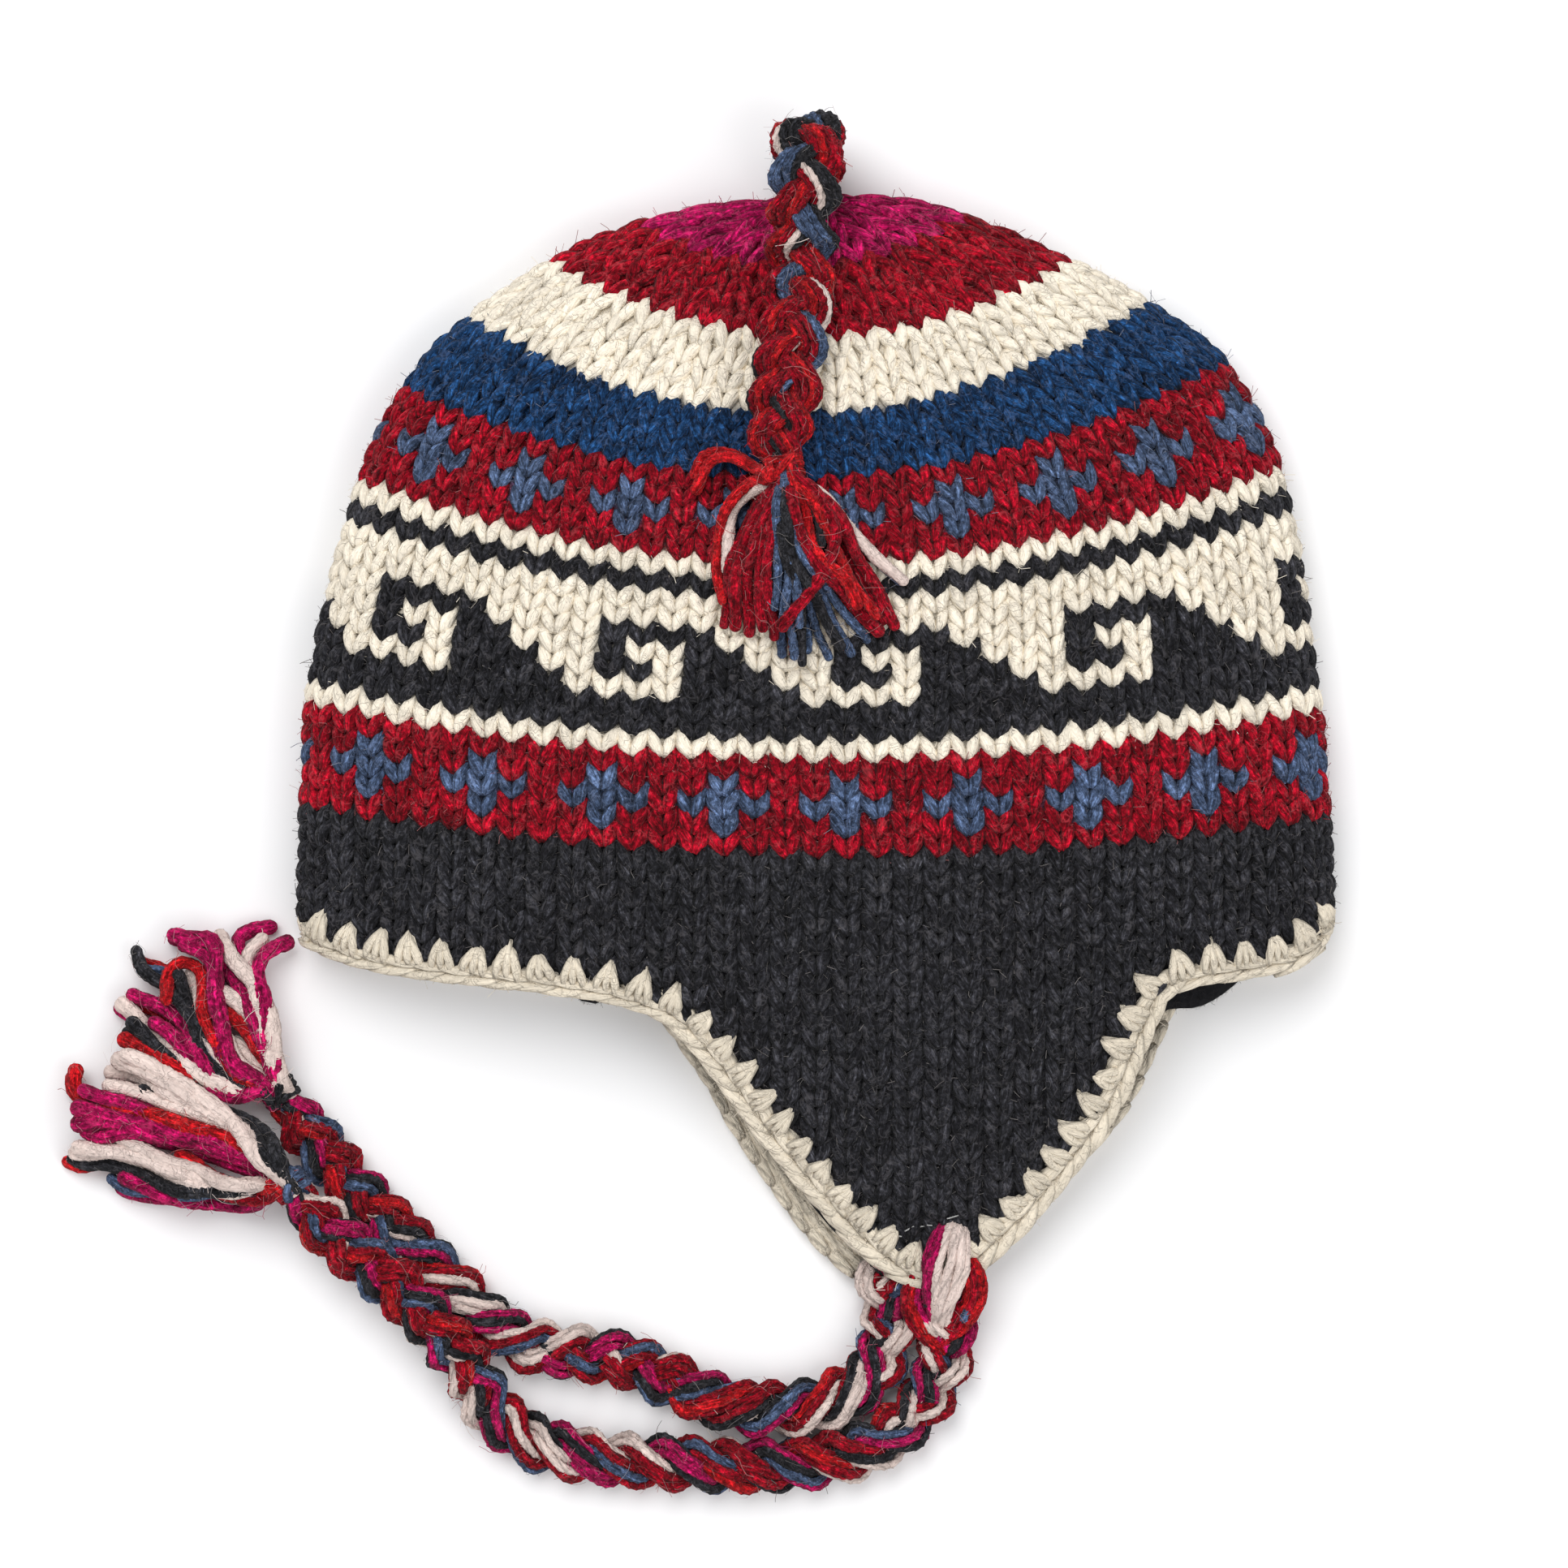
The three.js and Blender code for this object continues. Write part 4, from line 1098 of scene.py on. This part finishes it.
def fabric_row(row, shares):
    """Angle and face row for a round, or below the last whole round for a straight row of brim or flap."""
    angle = angles_at(row, shares)
    if row <= LAST_ROUND:
        return angle, np.full(angle.shape, float(row))
    start = face(angle, LAST_ROUND)[:, 1]
    hem = face(angle, HEM_ROW)[:, 1]
    skirt = (row - LAST_ROUND) * SKIRT_ROW_HEIGHT / (start - hem)
    return angle, LAST_ROUND + skirt * (HEM_ROW - LAST_ROUND)


def fabric_place(angle, row, depth):
    """A place under the face, further in on the side that the hat lies on."""
    out = outward(angle, row)
    return face(angle, row) - (depth + UNDERSIDE_DEPTH * np.maximum(0, -out[..., 2:])) * out


def stitch_row(row):
    count = stitches_in(row)
    column = np.arange(count) - count // 2
    shares = column / count
    middle_angle, middle_row = fabric_row(row + 0.5, shares)
    inside = middle_row < HEM_ROW - HEM_MARGIN
    column, shares = column[inside], shares[inside]
    angle, at = middle_angle[inside], middle_row[inside]
    above = face(*fabric_row(max(row, TIP_ROW), shares))
    below_angle, below_row = fabric_row(row + 1, shares)
    below = face(angle if row >= LAST_ROUND else below_angle, np.minimum(below_row, HEM_ROW))
    out = outward(angle, at)
    up = unit(above - below)
    height = np.linalg.norm(above - below, axis=1)
    if row >= LAST_ROUND:
        height = np.maximum(height, LEAST_HEIGHT * SKIRT_ROW_HEIGHT)
    loop = face(FINE_ANGLES, min(row + 0.5, LAST_ROUND))
    width = np.linalg.norm(np.diff(loop, axis=0), axis=1).sum() / count
    widths = np.full(len(column), width / STITCH_WIDTH)
    size = np.stack([widths, height / STITCH_HEIGHT, np.ones(len(column))], axis=1)
    if row < len(CROWN_STITCHES):
        size *= CROWN_FULLNESS
    place = fabric_place(angle, at, STITCH_DEPTH)
    return place, out, up, size, [yarn_for(row, int(c)) for c in column]


def knitted(name, rows):
    parts = [stitch_row(row) for row in rows]
    place, out, up, size = (np.concatenate([p[i] for p in parts]) for i in range(4))
    names = [n for p in parts for n in p[4]]
    count = len(place)
    right = np.cross(up, out)
    up = unit(up + right * chance.normal(0, UNEVEN_WAY, (count, 1)))
    fine = chance.integers(0, FINE_LEG["versions"], count)
    plain = FINE_LEG["versions"] + chance.integers(0, PLAIN_LEG["versions"], count)
    version = np.where(out[:, 2] > UNDERSIDE_WAY, fine, plain)
    out = unit(out + right * chance.normal(0, UNEVEN_WAY, (count, 1)))
    size = size * chance.uniform(0.95, 1.07, (count, 3))
    aside = right * chance.normal(0, UNEVEN_PLACE, (count, 1))
    place = place + aside + up * chance.normal(0, UNEVEN_PLACE, (count, 1))
    colour = np.array([YARN[n] for n in names])
    vary = np.where(colour[:, 1:2] > PALE_GREEN, PALE_VARIES, DARK_VARIES)
    colour = colour * (1 + vary * chance.uniform(-1, 1, (count, 1)))
    source = mesh_object(name, place, out_way=out, up_way=up, stitch_size=size, yarn_colour=colour,
                         yarn_number=chance.uniform(*YARN_NUMBERS, count), stitch_version=version)
    return grown(source, LAID_STITCHES, stitches=knit_stitches, material=knit_wool)


crown_knit = knitted("crown_knit", range(0, 16))
upper_border_knit = knitted("upper_border_knit", range(16, 26))
lower_border_knit = knitted("lower_border_knit", range(26, 37))
brim_knit = knitted("brim_knit", range(37, 37 + SKIRT_ROWS))

# %% [markdown]
# Between the legs one looks into the fabric, and inside the hat the purl side shows. Both are one closed
# shell under the stitches. It is darker than the yarn, a painted shade, because little light comes back out
# of a knit.

# %% Fabric under the stitches
GROUND_DEPTH = 1.9
GROUND_AROUND = 144
GROUND_ROWS = np.concatenate([[0.3, 0.8], np.arange(1.5, LAST_ROUND), np.linspace(LAST_ROUND, HEM_ROW, 12)])
DARK_GROUND_SHADE = 0.6
PALE_GROUND_SHADE = 0.9


def loft(rings, closed):
    count = len(rings[0])
    faces = []
    for r in range(len(rings) if closed else len(rings) - 1):
        here, there = r * count, ((r + 1) % len(rings)) * count
        for i in range(count):
            j = (i + 1) % count
            faces.append((here + i, here + j, there + j, there + i))
    return faces


def shaded_ground_colours(angle, row):
    loop = face(FINE_ANGLES, min(row, LAST_ROUND))
    length = lengths_along(loop)
    back = math.pi / 2 - np.mod(math.pi / 2 - angle, 2 * math.pi)
    share = np.interp(-back, -FINE_ANGLES, length / length[-1])
    column = np.round(share * stitches_in(LAST_ROUND)).astype(int)
    colour = np.array([YARN[yarn_for(int(min(row, LAST_ROUND)), int(c))] for c in column])
    # Painted shade: the yarn colour of the fabric between the stitches, darkened, more on dark yarn than on
    # pale.
    return colour * np.where(colour[:, 1:2] > PALE_GREEN, PALE_GROUND_SHADE, DARK_GROUND_SHADE)


def ground_fabric():
    angle = np.linspace(0, 2 * math.pi, GROUND_AROUND, endpoint=False)
    outer = [fabric_place(angle, row, GROUND_DEPTH) for row in GROUND_ROWS]
    inner = [under(angle, row, KNIT_WALL) for row in GROUND_ROWS[2:][::-1]]
    colours = [shaded_ground_colours(angle, row) for row in list(GROUND_ROWS) + list(GROUND_ROWS[2:][::-1])]
    rings = outer + inner
    faces = loft(rings, closed=False)
    faces.append(tuple(range(GROUND_AROUND - 1, -1, -1)))
    first = (len(rings) - 1) * GROUND_AROUND
    faces.append(tuple(range(first, first + GROUND_AROUND)))
    points = np.concatenate(rings)
    made = mesh_object("knit_ground", points, faces=faces, yarn_colour=np.concatenate(colours),
                       fibre_at=points * 0.6)
    made.data.materials.append(purl_wool)
    made.data.polygons.foreach_set("use_smooth", [True] * len(made.data.polygons))
    return made


knit_ground = ground_fabric()
print("ground faces:", len(knit_ground.data.polygons))

# %% [markdown]
# The hem and both flaps are edged in cream crochet: a chain of loops along the very edge, and pointed
# clusters of yarn that reach up into the knit. The chain is the knitted V again, turned to run along the
# hem, over a plain core of yarn. A cluster is three short legs that meet at a point, lower on the flaps.

# %% Crochet edging
CHAIN_PITCH = 7.4
CHAIN_OVERLAP = 1.2
CHAIN_FLATNESS = 0.9
CHAIN_RISE, LOWER_CHAIN_RISE = 0.9, -0.5
TOOTH_RISE, LOWER_TOOTH_RISE = KNIT_WALL / 2 - 0.2, KNIT_WALL / 2 - 2.2
CORE_PITCH, CORE_YARN = 3.0, 2.1
FLAP_FROM, FLAP_WITHIN = 0.3, 0.35
BRIM_CHAIN = {"width": 5.8, "out": 3.1, "foot": 0.6, "flap": 0.0}
FLAP_CHAIN = {"width": 8.4, "out": 2.1, "foot": -0.5, "flap": 1.0}
TOOTH_PITCH = 8.6
BRIM_TOOTH = {"feet": [-2.5, 0, 2.5], "height": 6.8, "waist": 0.46, "tip": 0.08,
              "radii": [1.1, 1.25, 1.1, 0.5]}
FLAP_TOOTH = {"feet": [-2.2, 0.2, 2.1], "height": 5.4, "waist": 0.5, "tip": 0.1,
              "radii": [1.2, 1.4, 1.2, 0.55]}
TOOTH_LEG = {"versions": 4, "sides": 6, "rings": 7}


def tooth_legs(shape):
    legs = []
    lean = chance.normal(0, 0.4)
    for foot in shape["feet"]:
        tall = shape["height"] + chance.normal(0, 0.2)
        line = np.array([(foot, -1.8, -0.6), (foot * 0.95, 0.4, 0.75),
                         (foot * shape["waist"] + lean * 0.5, tall * 0.55, 0.75),
                         (foot * shape["tip"] + lean, tall, -0.9)]) + chance.normal(0, 0.08, (4, 3))
        legs.append((line, np.array(shape["radii"]) * chance.uniform(0.94, 1.06)))
    return legs


def hem_places(pitch, shift=0.0):
    """Angles at an even pitch along the whole hem."""
    fine = np.linspace(0, 2 * math.pi, 2881)
    line = under(fine, HEM_ROW, KNIT_WALL / 2)
    length = lengths_along(line)
    count = int(round(length[-1] / pitch))
    return np.interp((np.arange(count) + shift) * length[-1] / count, length, fine)


def hem_frame(angle):
    middle = lambda a: under(a, HEM_ROW, KNIT_WALL / 2)
    along = unit(middle(angle + 0.01) - middle(angle - 0.01))
    out = outward(angle, HEM_ROW)
    away = unit(np.cross(out, along))
    return middle(angle), along, unit(np.cross(along, away)), away


def edge_value(along, key):
    """A size of the edging, which is narrow on the brim and broad where the hem runs down a flap."""
    steep = np.clip((np.abs(along[:, 1]) - FLAP_FROM) / FLAP_WITHIN, 0, 1)
    return BRIM_CHAIN[key] * (1 - steep) + FLAP_CHAIN[key] * steep


def edging(name, places, out, up, size, stitches, version):
    count = len(places)
    colour = np.tile(YARN["ecru"], (count, 1)) * chance.uniform(0.92, 1.06, (count, 1))
    source = mesh_object(name, places, out_way=out, up_way=up, stitch_size=size, yarn_colour=colour,
                         yarn_number=chance.uniform(*YARN_NUMBERS, count), stitch_version=version)
    return grown(source, LAID_STITCHES, stitches=stitches, material=edging_wool)


def edge_chain():
    angle = hem_places(CHAIN_PITCH)
    middle, along, out, away = hem_frame(angle)
    width = edge_value(along, "width") / STITCH_WIDTH
    length = np.full(len(angle), CHAIN_OVERLAP * CHAIN_PITCH / STITCH_HEIGHT)
    size = np.stack([width, length, np.full(len(angle), CHAIN_FLATNESS)], axis=1)
    rise = np.where(np.sin(angle) >= 0, CHAIN_RISE, LOWER_CHAIN_RISE)[:, None]
    place = middle + edge_value(along, "out")[:, None] * away + rise * out
    version = chance.integers(0, FINE_LEG["versions"], len(angle))
    return edging("edge_chain", place, unit(out + 0.15 * away), along, size, knit_stitches, version)


def edge_teeth():
    angle = hem_places(TOOTH_PITCH, 0.5)
    middle, along, out, away = hem_frame(angle)
    count = len(angle)
    widths, heights = chance.uniform(0.88, 1.1, count), chance.uniform(0.78, 1.15, count)
    size = np.stack([widths, heights, np.ones(count)], axis=1)
    rise = np.where(np.sin(angle) >= 0, TOOTH_RISE, LOWER_TOOTH_RISE)[:, None]
    place = middle + edge_value(along, "foot")[:, None] * away + rise * out
    up = unit(-away + along * chance.normal(0, 0.1, (count, 1)))
    on_flap = edge_value(along, "flap") > 0.5
    version = chance.integers(0, TOOTH_LEG["versions"], count) + np.where(on_flap, TOOTH_LEG["versions"], 0)
    teeth = stitch_set("tooth", (lambda: tooth_legs(BRIM_TOOTH), TOOTH_LEG),
                       (lambda: tooth_legs(FLAP_TOOTH), TOOTH_LEG))
    return edging("edge_teeth", place, out, up, size, teeth, version)


def edge_core():
    middle, along, out, away = hem_frame(np.append(hem_places(CORE_PITCH), 0.0) + 1e-6)
    path = middle + edge_value(along, "out")[:, None] * away
    return yarns("edge_core", [(path, CORE_YARN, "ecru")], edging_wool)


chain = edge_chain()
teeth = edge_teeth()
core = edge_core()

# %% [markdown]
# A band of black fleece lines the hem and the flaps, and hangs out a little below the hem in two places.
# Fleece is a short, even pile: a thin shell with an uneven face, and a dark, dull material. Where it hangs
# out, tufts of the pile are added later, with the loose hairs.

# %% Fleece lining
FLEECE_NEAR = 6.0
FLEECE_WALL = 2.0
FLEECE_TOP_ROW = 26
FLEECE_ROWS = np.append(np.arange(FLEECE_TOP_ROW, LAST_ROUND, 1.0), np.linspace(LAST_ROUND, HEM_ROW, 14))
FLEECE_AROUND = 200
FLEECE_UNEVEN = 0.15
FLEECE_DARK, FLEECE_LIGHT = (0.004, 0.004, 0.005, 1), (0.022, 0.022, 0.025, 1)
FLEECE_SURFACE = {"Roughness": 1.0, "Specular IOR Level": 0.1, "Sheen Weight": 0.15}
PILE_SCALE, TUFT_SCALE, TUFT_HEIGHT = 900.0, 420.0, 0.8 * MM


def fleece_material():
    material, tree, surface = new_material("black_fleece", FLEECE_SURFACE)
    place = tree.nodes.new("ShaderNodeTexCoord").outputs["Object"]
    pile = linked(tree, "ShaderNodeTexNoise", [("Vector", place), ("Scale", PILE_SCALE), ("Detail", 4.0)])
    tufts = linked(tree, "ShaderNodeTexVoronoi", [("Vector", place), ("Scale", TUFT_SCALE)])
    relief = linked(tree, "ShaderNodeBump", [("Strength", 0.9), ("Distance", TUFT_HEIGHT),
                    ("Height", tufts.outputs["Distance"])])
    colour = colour_mix(tree, pile.outputs["Fac"], FLEECE_DARK, FLEECE_LIGHT)
    tree.links.new(colour, surface.inputs["Base Color"])
    tree.links.new(relief.outputs["Normal"], surface.inputs["Normal"])
    return material


def fleece_band():
    angle = np.linspace(0, 2 * math.pi, FLEECE_AROUND, endpoint=False)

    def ring(row, depth):
        uneven = chance.normal(0, FLEECE_UNEVEN, FLEECE_AROUND)
        return under(angle, row, depth + uneven[:, None], fleece_drop)

    outer = [ring(row, FLEECE_NEAR) for row in FLEECE_ROWS]
    inner = [ring(row, FLEECE_NEAR + FLEECE_WALL) for row in FLEECE_ROWS[::-1]]
    rings = outer + inner
    made = mesh_object("fleece_band", np.concatenate(rings), faces=loft(rings, closed=True))
    made.data.materials.append(fleece_material())
    made.data.polygons.foreach_set("use_smooth", [True] * len(made.data.polygons))
    return made


fleece = fleece_band()
print("fleece faces:", len(fleece.data.polygons))

# %% [markdown]
# Wool sheds: fine curly hairs stand off every yarn and blur the outline of the hat. A hair particle system
# could grow them, but a few ready hairs, scattered by a tree over each surface, stay plain meshes. A
# scattered hair takes the colour of the yarn under it, mixed with pale grey, a painted highlight because
# single fibres catch the light, or now and then with dark grey. Nothing goes below the table.

# %% Loose hairs
HAIR_WIDTH = 0.12
HAIR_RINGS = 5
SHORT_HAIR = {"kinds": 7, "length": (1.4, 4.0), "curl": (0.2, 0.9), "lift": (0.15, 0.55)}
LONG_HAIR = {"kinds": 3, "length": (4.5, 8.5), "curl": (0.6, 1.8), "lift": (0.4, 1.5)}
LOWEST_HAIR = 0.15
LOWEST_WAY = -0.1
FLEECE_HAIR = (0.012, 0.012, 0.014, 1)
# Pale grey: a painted highlight of single fibres that catch the light.
HAIR_HIGHLIGHT = (0.42, 0.38, 0.36, 1)
DARK_HAIR = (0.03, 0.028, 0.03, 1)
DARK_SHARE = 0.25
HAIR_TILT = 0.3
HAIR_SIZES = (0.6, 1.4)
ANYWHERE = -10
PEEK_SHARE, PEEK_STEPS, PEEK_ROWS = 0.8, 30, 1.2


def hair(name, make):
    """One curly hair, a narrow ribbon that lies on the surface under it."""
    t = np.linspace(0, 1, HAIR_RINGS)
    curl = chance.uniform(*make["curl"]) * np.sin(chance.uniform(2.0, 5.0) * t + chance.uniform(*ANY_PHASE))
    lift = chance.uniform(*make["lift"]) * np.sin(math.pi * t * chance.uniform(0.5, 1.0)) - 0.1
    line = np.stack([chance.uniform(*make["length"]) * (t - 0.5), curl, lift], axis=1)
    side, _ = carried_frame(line)
    points = np.stack([line - HAIR_WIDTH / 2 * side, line + HAIR_WIDTH / 2 * side], axis=1).reshape(-1, 3)
    faces = [(2 * i, 2 * i + 1, 2 * i + 3, 2 * i + 2) for i in range(HAIR_RINGS - 1)]
    made = mesh_object(name, points, faces=faces)
    bpy.context.scene.collection.objects.unlink(made)
    return made


def hair_set():
    group = bpy.data.collections.new("hair")
    for make in (SHORT_HAIR, LONG_HAIR):
        for _ in range(make["kinds"]):
            group.objects.link(hair(f"hair_{len(group.objects)}", make))
    return group


def points_above(tree, way, steepest):
    """Whether a direction's upward part is more than steepest."""
    upward = linked(tree, "ShaderNodeSeparateXYZ", [(0, way)]).outputs[2]
    compared = [(0, upward), (1, steepest)]
    return linked(tree, "FunctionNodeCompare", compared, operation="GREATER_THAN").outputs[0]


def loose_hairs_tree():
    tree = modifier_tree("loose_hairs")
    given = group_inputs(tree, [
        ("Hairs", "Collection", None), ("Density", "Float", 10000.0), ("Seed", "Int", 1),
        ("Paleness", "Float", 0.25), ("Steepest", "Float", 0.0), ("Size", "Float", 1.0),
        ("Material", "Material", None)])
    seed = ("Seed", given["Seed"])
    kinds = linked(tree, "GeometryNodeCollectionInfo", [("Collection", given["Hairs"]),
                   ("Separate Children", True), ("Reset Children", True)]).outputs[0]
    face_way = tree.nodes.new("GeometryNodeInputNormal").outputs[0]
    upward = points_above(tree, face_way, given["Steepest"])
    outside = points_above(tree, attribute(tree, "out_way", "FLOAT_VECTOR"), LOWEST_WAY)
    both = [(0, upward), (1, outside)]
    open_faces = linked(tree, "FunctionNodeBooleanMath", both, operation="AND").outputs[0]
    spots = linked(tree, "GeometryNodeDistributePointsOnFaces", [
        ("Mesh", given["Geometry"]), ("Selection", open_faces), ("Density", given["Density"]), seed])
    pick = linked(tree, "FunctionNodeRandomValue", [seed, (4, 0), (5, 99)], data_type="INT").outputs[2]
    tilt = (HAIR_TILT, HAIR_TILT, math.pi)
    spin = linked(tree, "FunctionNodeRandomValue", [(0, tuple(-t for t in tilt)), (1, tilt), seed],
                  data_type="FLOAT_VECTOR").outputs[0]
    spin = linked(tree, "FunctionNodeEulerToRotation", [(0, spin)]).outputs[0]
    turned = linked(tree, "FunctionNodeRotateRotation", [(0, spots.outputs["Rotation"]), (1, spin)],
                    rotation_space="LOCAL").outputs[0]
    vary = linked(tree, "FunctionNodeRandomValue", [(2, HAIR_SIZES[0]), (3, HAIR_SIZES[1]), seed],
                  data_type="FLOAT").outputs[1]
    size = math_node(tree, "MULTIPLY", vary, given["Size"])
    laid = linked(tree, "GeometryNodeInstanceOnPoints", [
        ("Points", spots.outputs["Points"]), ("Instance", kinds), ("Pick Instance", True),
        ("Instance Index", pick), ("Rotation", turned), ("Scale", size)]).outputs[0]
    dark = linked(tree, "FunctionNodeRandomValue", [("Probability", DARK_SHARE), seed],
                  data_type="BOOLEAN").outputs[3]
    # The pale grey is a painted highlight; the dark grey is the colour of dark fibres.
    grey = colour_mix(tree, dark, HAIR_HIGHLIGHT, DARK_HAIR)
    mixed = colour_mix(tree, given["Paleness"], attribute(tree, "yarn_colour", "FLOAT_COLOR"), grey)
    kept = linked(tree, "GeometryNodeStoreNamedAttribute", [("Geometry", laid), ("Name", "yarn_colour"),
                  ("Value", mixed)], data_type="FLOAT_COLOR", domain="INSTANCE").outputs[0]
    real = linked(tree, "GeometryNodeRealizeInstances", [("Geometry", kept)]).outputs[0]
    spot = tree.nodes.new("GeometryNodeInputPosition").outputs[0]
    spot = vector_node(tree, "MAXIMUM", spot, (ANYWHERE, ANYWHERE, LOWEST_HAIR * MM))
    resting = linked(tree, "GeometryNodeSetPosition", [("Geometry", real), ("Position", spot)]).outputs[0]
    return finished(tree, resting, given["Material"])


def hair_material():
    material, tree, surface = new_material("loose_hair", {"Roughness": 0.7, "Specular IOR Level": 0.2})
    colour = linked(tree, "ShaderNodeAttribute", attribute_name="yarn_colour").outputs["Color"]
    tree.links.new(colour, surface.inputs["Base Color"])
    return material


LOOSE_HAIRS = loose_hairs_tree()
HAIRS = hair_set()
loose_hair = hair_material()


def hairs_on(name, source, density, seed, paleness=0.3, size=1.0, steepest=-0.1):
    copy = bpy.data.objects.new(name, source.data.copy())
    bpy.context.scene.collection.objects.link(copy)
    return grown(copy, LOOSE_HAIRS, hairs=HAIRS, density=density, seed=seed, paleness=paleness, size=size,
                 steepest=steepest, material=loose_hair)


def fleece_skin():
    """The stretches of fleece that hang out, only used to scatter its pile on."""
    strips = []
    for peek, half in zip(LINING_PEEKS["x"], LINING_PEEKS["half_width"]):
        x = np.linspace(peek + PEEK_SHARE * half, peek - PEEK_SHARE * half, PEEK_STEPS)
        angle = 2 * math.pi - np.arccos(np.clip(x / HEM_HALF_WIDTH, -1, 1))
        inner = FLEECE_NEAR + FLEECE_WALL
        rows = ((HEM_ROW - PEEK_ROWS, inner), (HEM_ROW, inner), (HEM_ROW, FLEECE_NEAR))
        strips.append([under(angle, row, depth, fleece_drop) for row, depth in rows])
    points = np.concatenate([np.concatenate(rows) for rows in strips])
    faces = []
    for s, rows in enumerate(strips):
        for r in range(len(rows) - 1):
            for i in range(len(rows[0]) - 1):
                a = (s * len(rows) + r) * len(rows[0]) + i
                faces.append((a, a + 1, a + 1 + len(rows[0]), a + len(rows[0])))
    return mesh_object("fleece_skin", points, faces=faces, yarn_colour=np.tile(FLEECE_HAIR, (len(points), 1)))


KNIT_HAIRS = 225000.0
KNIT_STEEPEST = 0.1
YARN_HAIRS = 70000.0
PILE_HAIRS = 2400000.0
crown_hairs = hairs_on("crown_hairs", crown_knit, KNIT_HAIRS, 4, steepest=KNIT_STEEPEST)
upper_border_hairs = hairs_on("upper_border_hairs", upper_border_knit, KNIT_HAIRS, 13, steepest=KNIT_STEEPEST)
lower_border_hairs = hairs_on("lower_border_hairs", lower_border_knit, KNIT_HAIRS, 14, steepest=KNIT_STEEPEST)
brim_hairs = hairs_on("brim_hairs", brim_knit, KNIT_HAIRS, 15, steepest=KNIT_STEEPEST)
skin = fleece_skin()
fleece_pile = hairs_on("fleece_pile", skin, PILE_HAIRS, 12, paleness=0.05, size=0.4)
bpy.data.objects.remove(skin, do_unlink=True)
upper_tie_hairs = hairs_on("upper_tie_hairs", upper_tie, YARN_HAIRS, 5)
lower_tie_hairs = hairs_on("lower_tie_hairs", lower_tie, YARN_HAIRS, 6)
topknot_hairs = hairs_on("topknot_hairs", topknot, YARN_HAIRS, 7)
upper_tassel_hairs = hairs_on("upper_tassel_hairs", upper_tassel, YARN_HAIRS, 8)
lower_tassel_hairs = hairs_on("lower_tassel_hairs", lower_tassel, YARN_HAIRS, 9)
topknot_tassel_hairs = hairs_on("topknot_tassel_hairs", topknot_tassel, YARN_HAIRS, 10)
edge_hairs = hairs_on("edge_hairs", chain, YARN_HAIRS, 11)

# %% [markdown]
# The object rests on a plain pale table. A big soft light overhead, a weaker one from the side of the hem
# and a bright surrounding give the even light of a studio, with soft shadows between the stitches.

# %% Table and light
TABLE_HALF = 3.0
TABLE_SURFACE = {"Base Color": (0.9, 0.9, 0.91, 1), "Roughness": 0.9}
SURROUNDING = 0.65


def pale_table():
    corners = [(x * TABLE_HALF, y * TABLE_HALF, 0) for x, y in ((-1, -1), (1, -1), (1, 1), (-1, 1))]
    mesh = bpy.data.meshes.new("table")
    mesh.from_pydata(corners, [], [(0, 1, 2, 3)])
    mesh.materials.append(new_material("pale_table", TABLE_SURFACE)[0])
    made = bpy.data.objects.new("table", mesh)
    bpy.context.scene.collection.objects.link(made)


def soft_light(name, place, size, power):
    """A round light that points at the origin."""
    light = bpy.data.lights.new(name, "AREA")
    light.shape = "DISK"
    light.size = size
    light.energy = power
    made = bpy.data.objects.new(name, light)
    made.location = place
    x, y, z = place
    made.rotation_euler = (math.atan2(math.hypot(x, y), z), 0, math.atan2(-x, y) + math.pi)
    bpy.context.scene.collection.objects.link(made)


pale_table()
soft_light("key", (-0.4, 0.7, 1.6), size=1.2, power=18)
soft_light("fill", (0.8, -0.6, 1.5), size=1.4, power=9)
world = bpy.data.worlds.new("studio")
world.use_nodes = True
world.node_tree.nodes["Background"].inputs["Color"].default_value = (1, 1, 1, 1)
world.node_tree.nodes["Background"].inputs["Strength"].default_value = SURROUNDING
bpy.context.scene.world = world
bpy.context.scene.view_settings.view_transform = "Standard"

# %% [markdown]
# Last, each piece is tied to the CAD model: it rides on the one body, and the CAD solid it stands for,
# listed with its finish, is hidden.

# %% Tie the pieces to the CAD model
PIECES_OF = {
    ("knit_body", "patterned_knit"): [
        crown_knit, upper_border_knit, lower_border_knit, brim_knit, knit_ground, thread,
        crown_hairs, upper_border_hairs, lower_border_hairs, brim_hairs],
    ("fleece_lining", "black_fleece"): [fleece, fleece_pile],
    ("crochet_edging", "cream_edging"): [chain, teeth, core, edge_hairs],
    ("topknot_braid", "mixed_yarn"): [topknot, topknot_hairs],
    ("topknot_binding", "binding_yarn"): [topknot_winding],
    ("topknot_tassel", "mixed_yarn"): [topknot_tassel, topknot_tassel_hairs],
    ("upper_tie_braid", "mixed_yarn"): [upper_tie, upper_tie_hairs, strand_over_flap],
    ("upper_tie_binding", "binding_yarn"): [upper_winding],
    ("upper_tie_tassel", "mixed_yarn"): [upper_tassel, upper_tassel_hairs],
    ("lower_tie_braid", "mixed_yarn"): [lower_tie, lower_tie_hairs],
    ("lower_tie_binding", "binding_yarn"): [lower_winding],
    ("lower_tie_tassel", "mixed_yarn"): [lower_tassel, lower_tassel_hairs],
}
for (node, finish), pieces in PIECES_OF.items():
    for piece in pieces:
        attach(piece, "root")
        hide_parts(node)
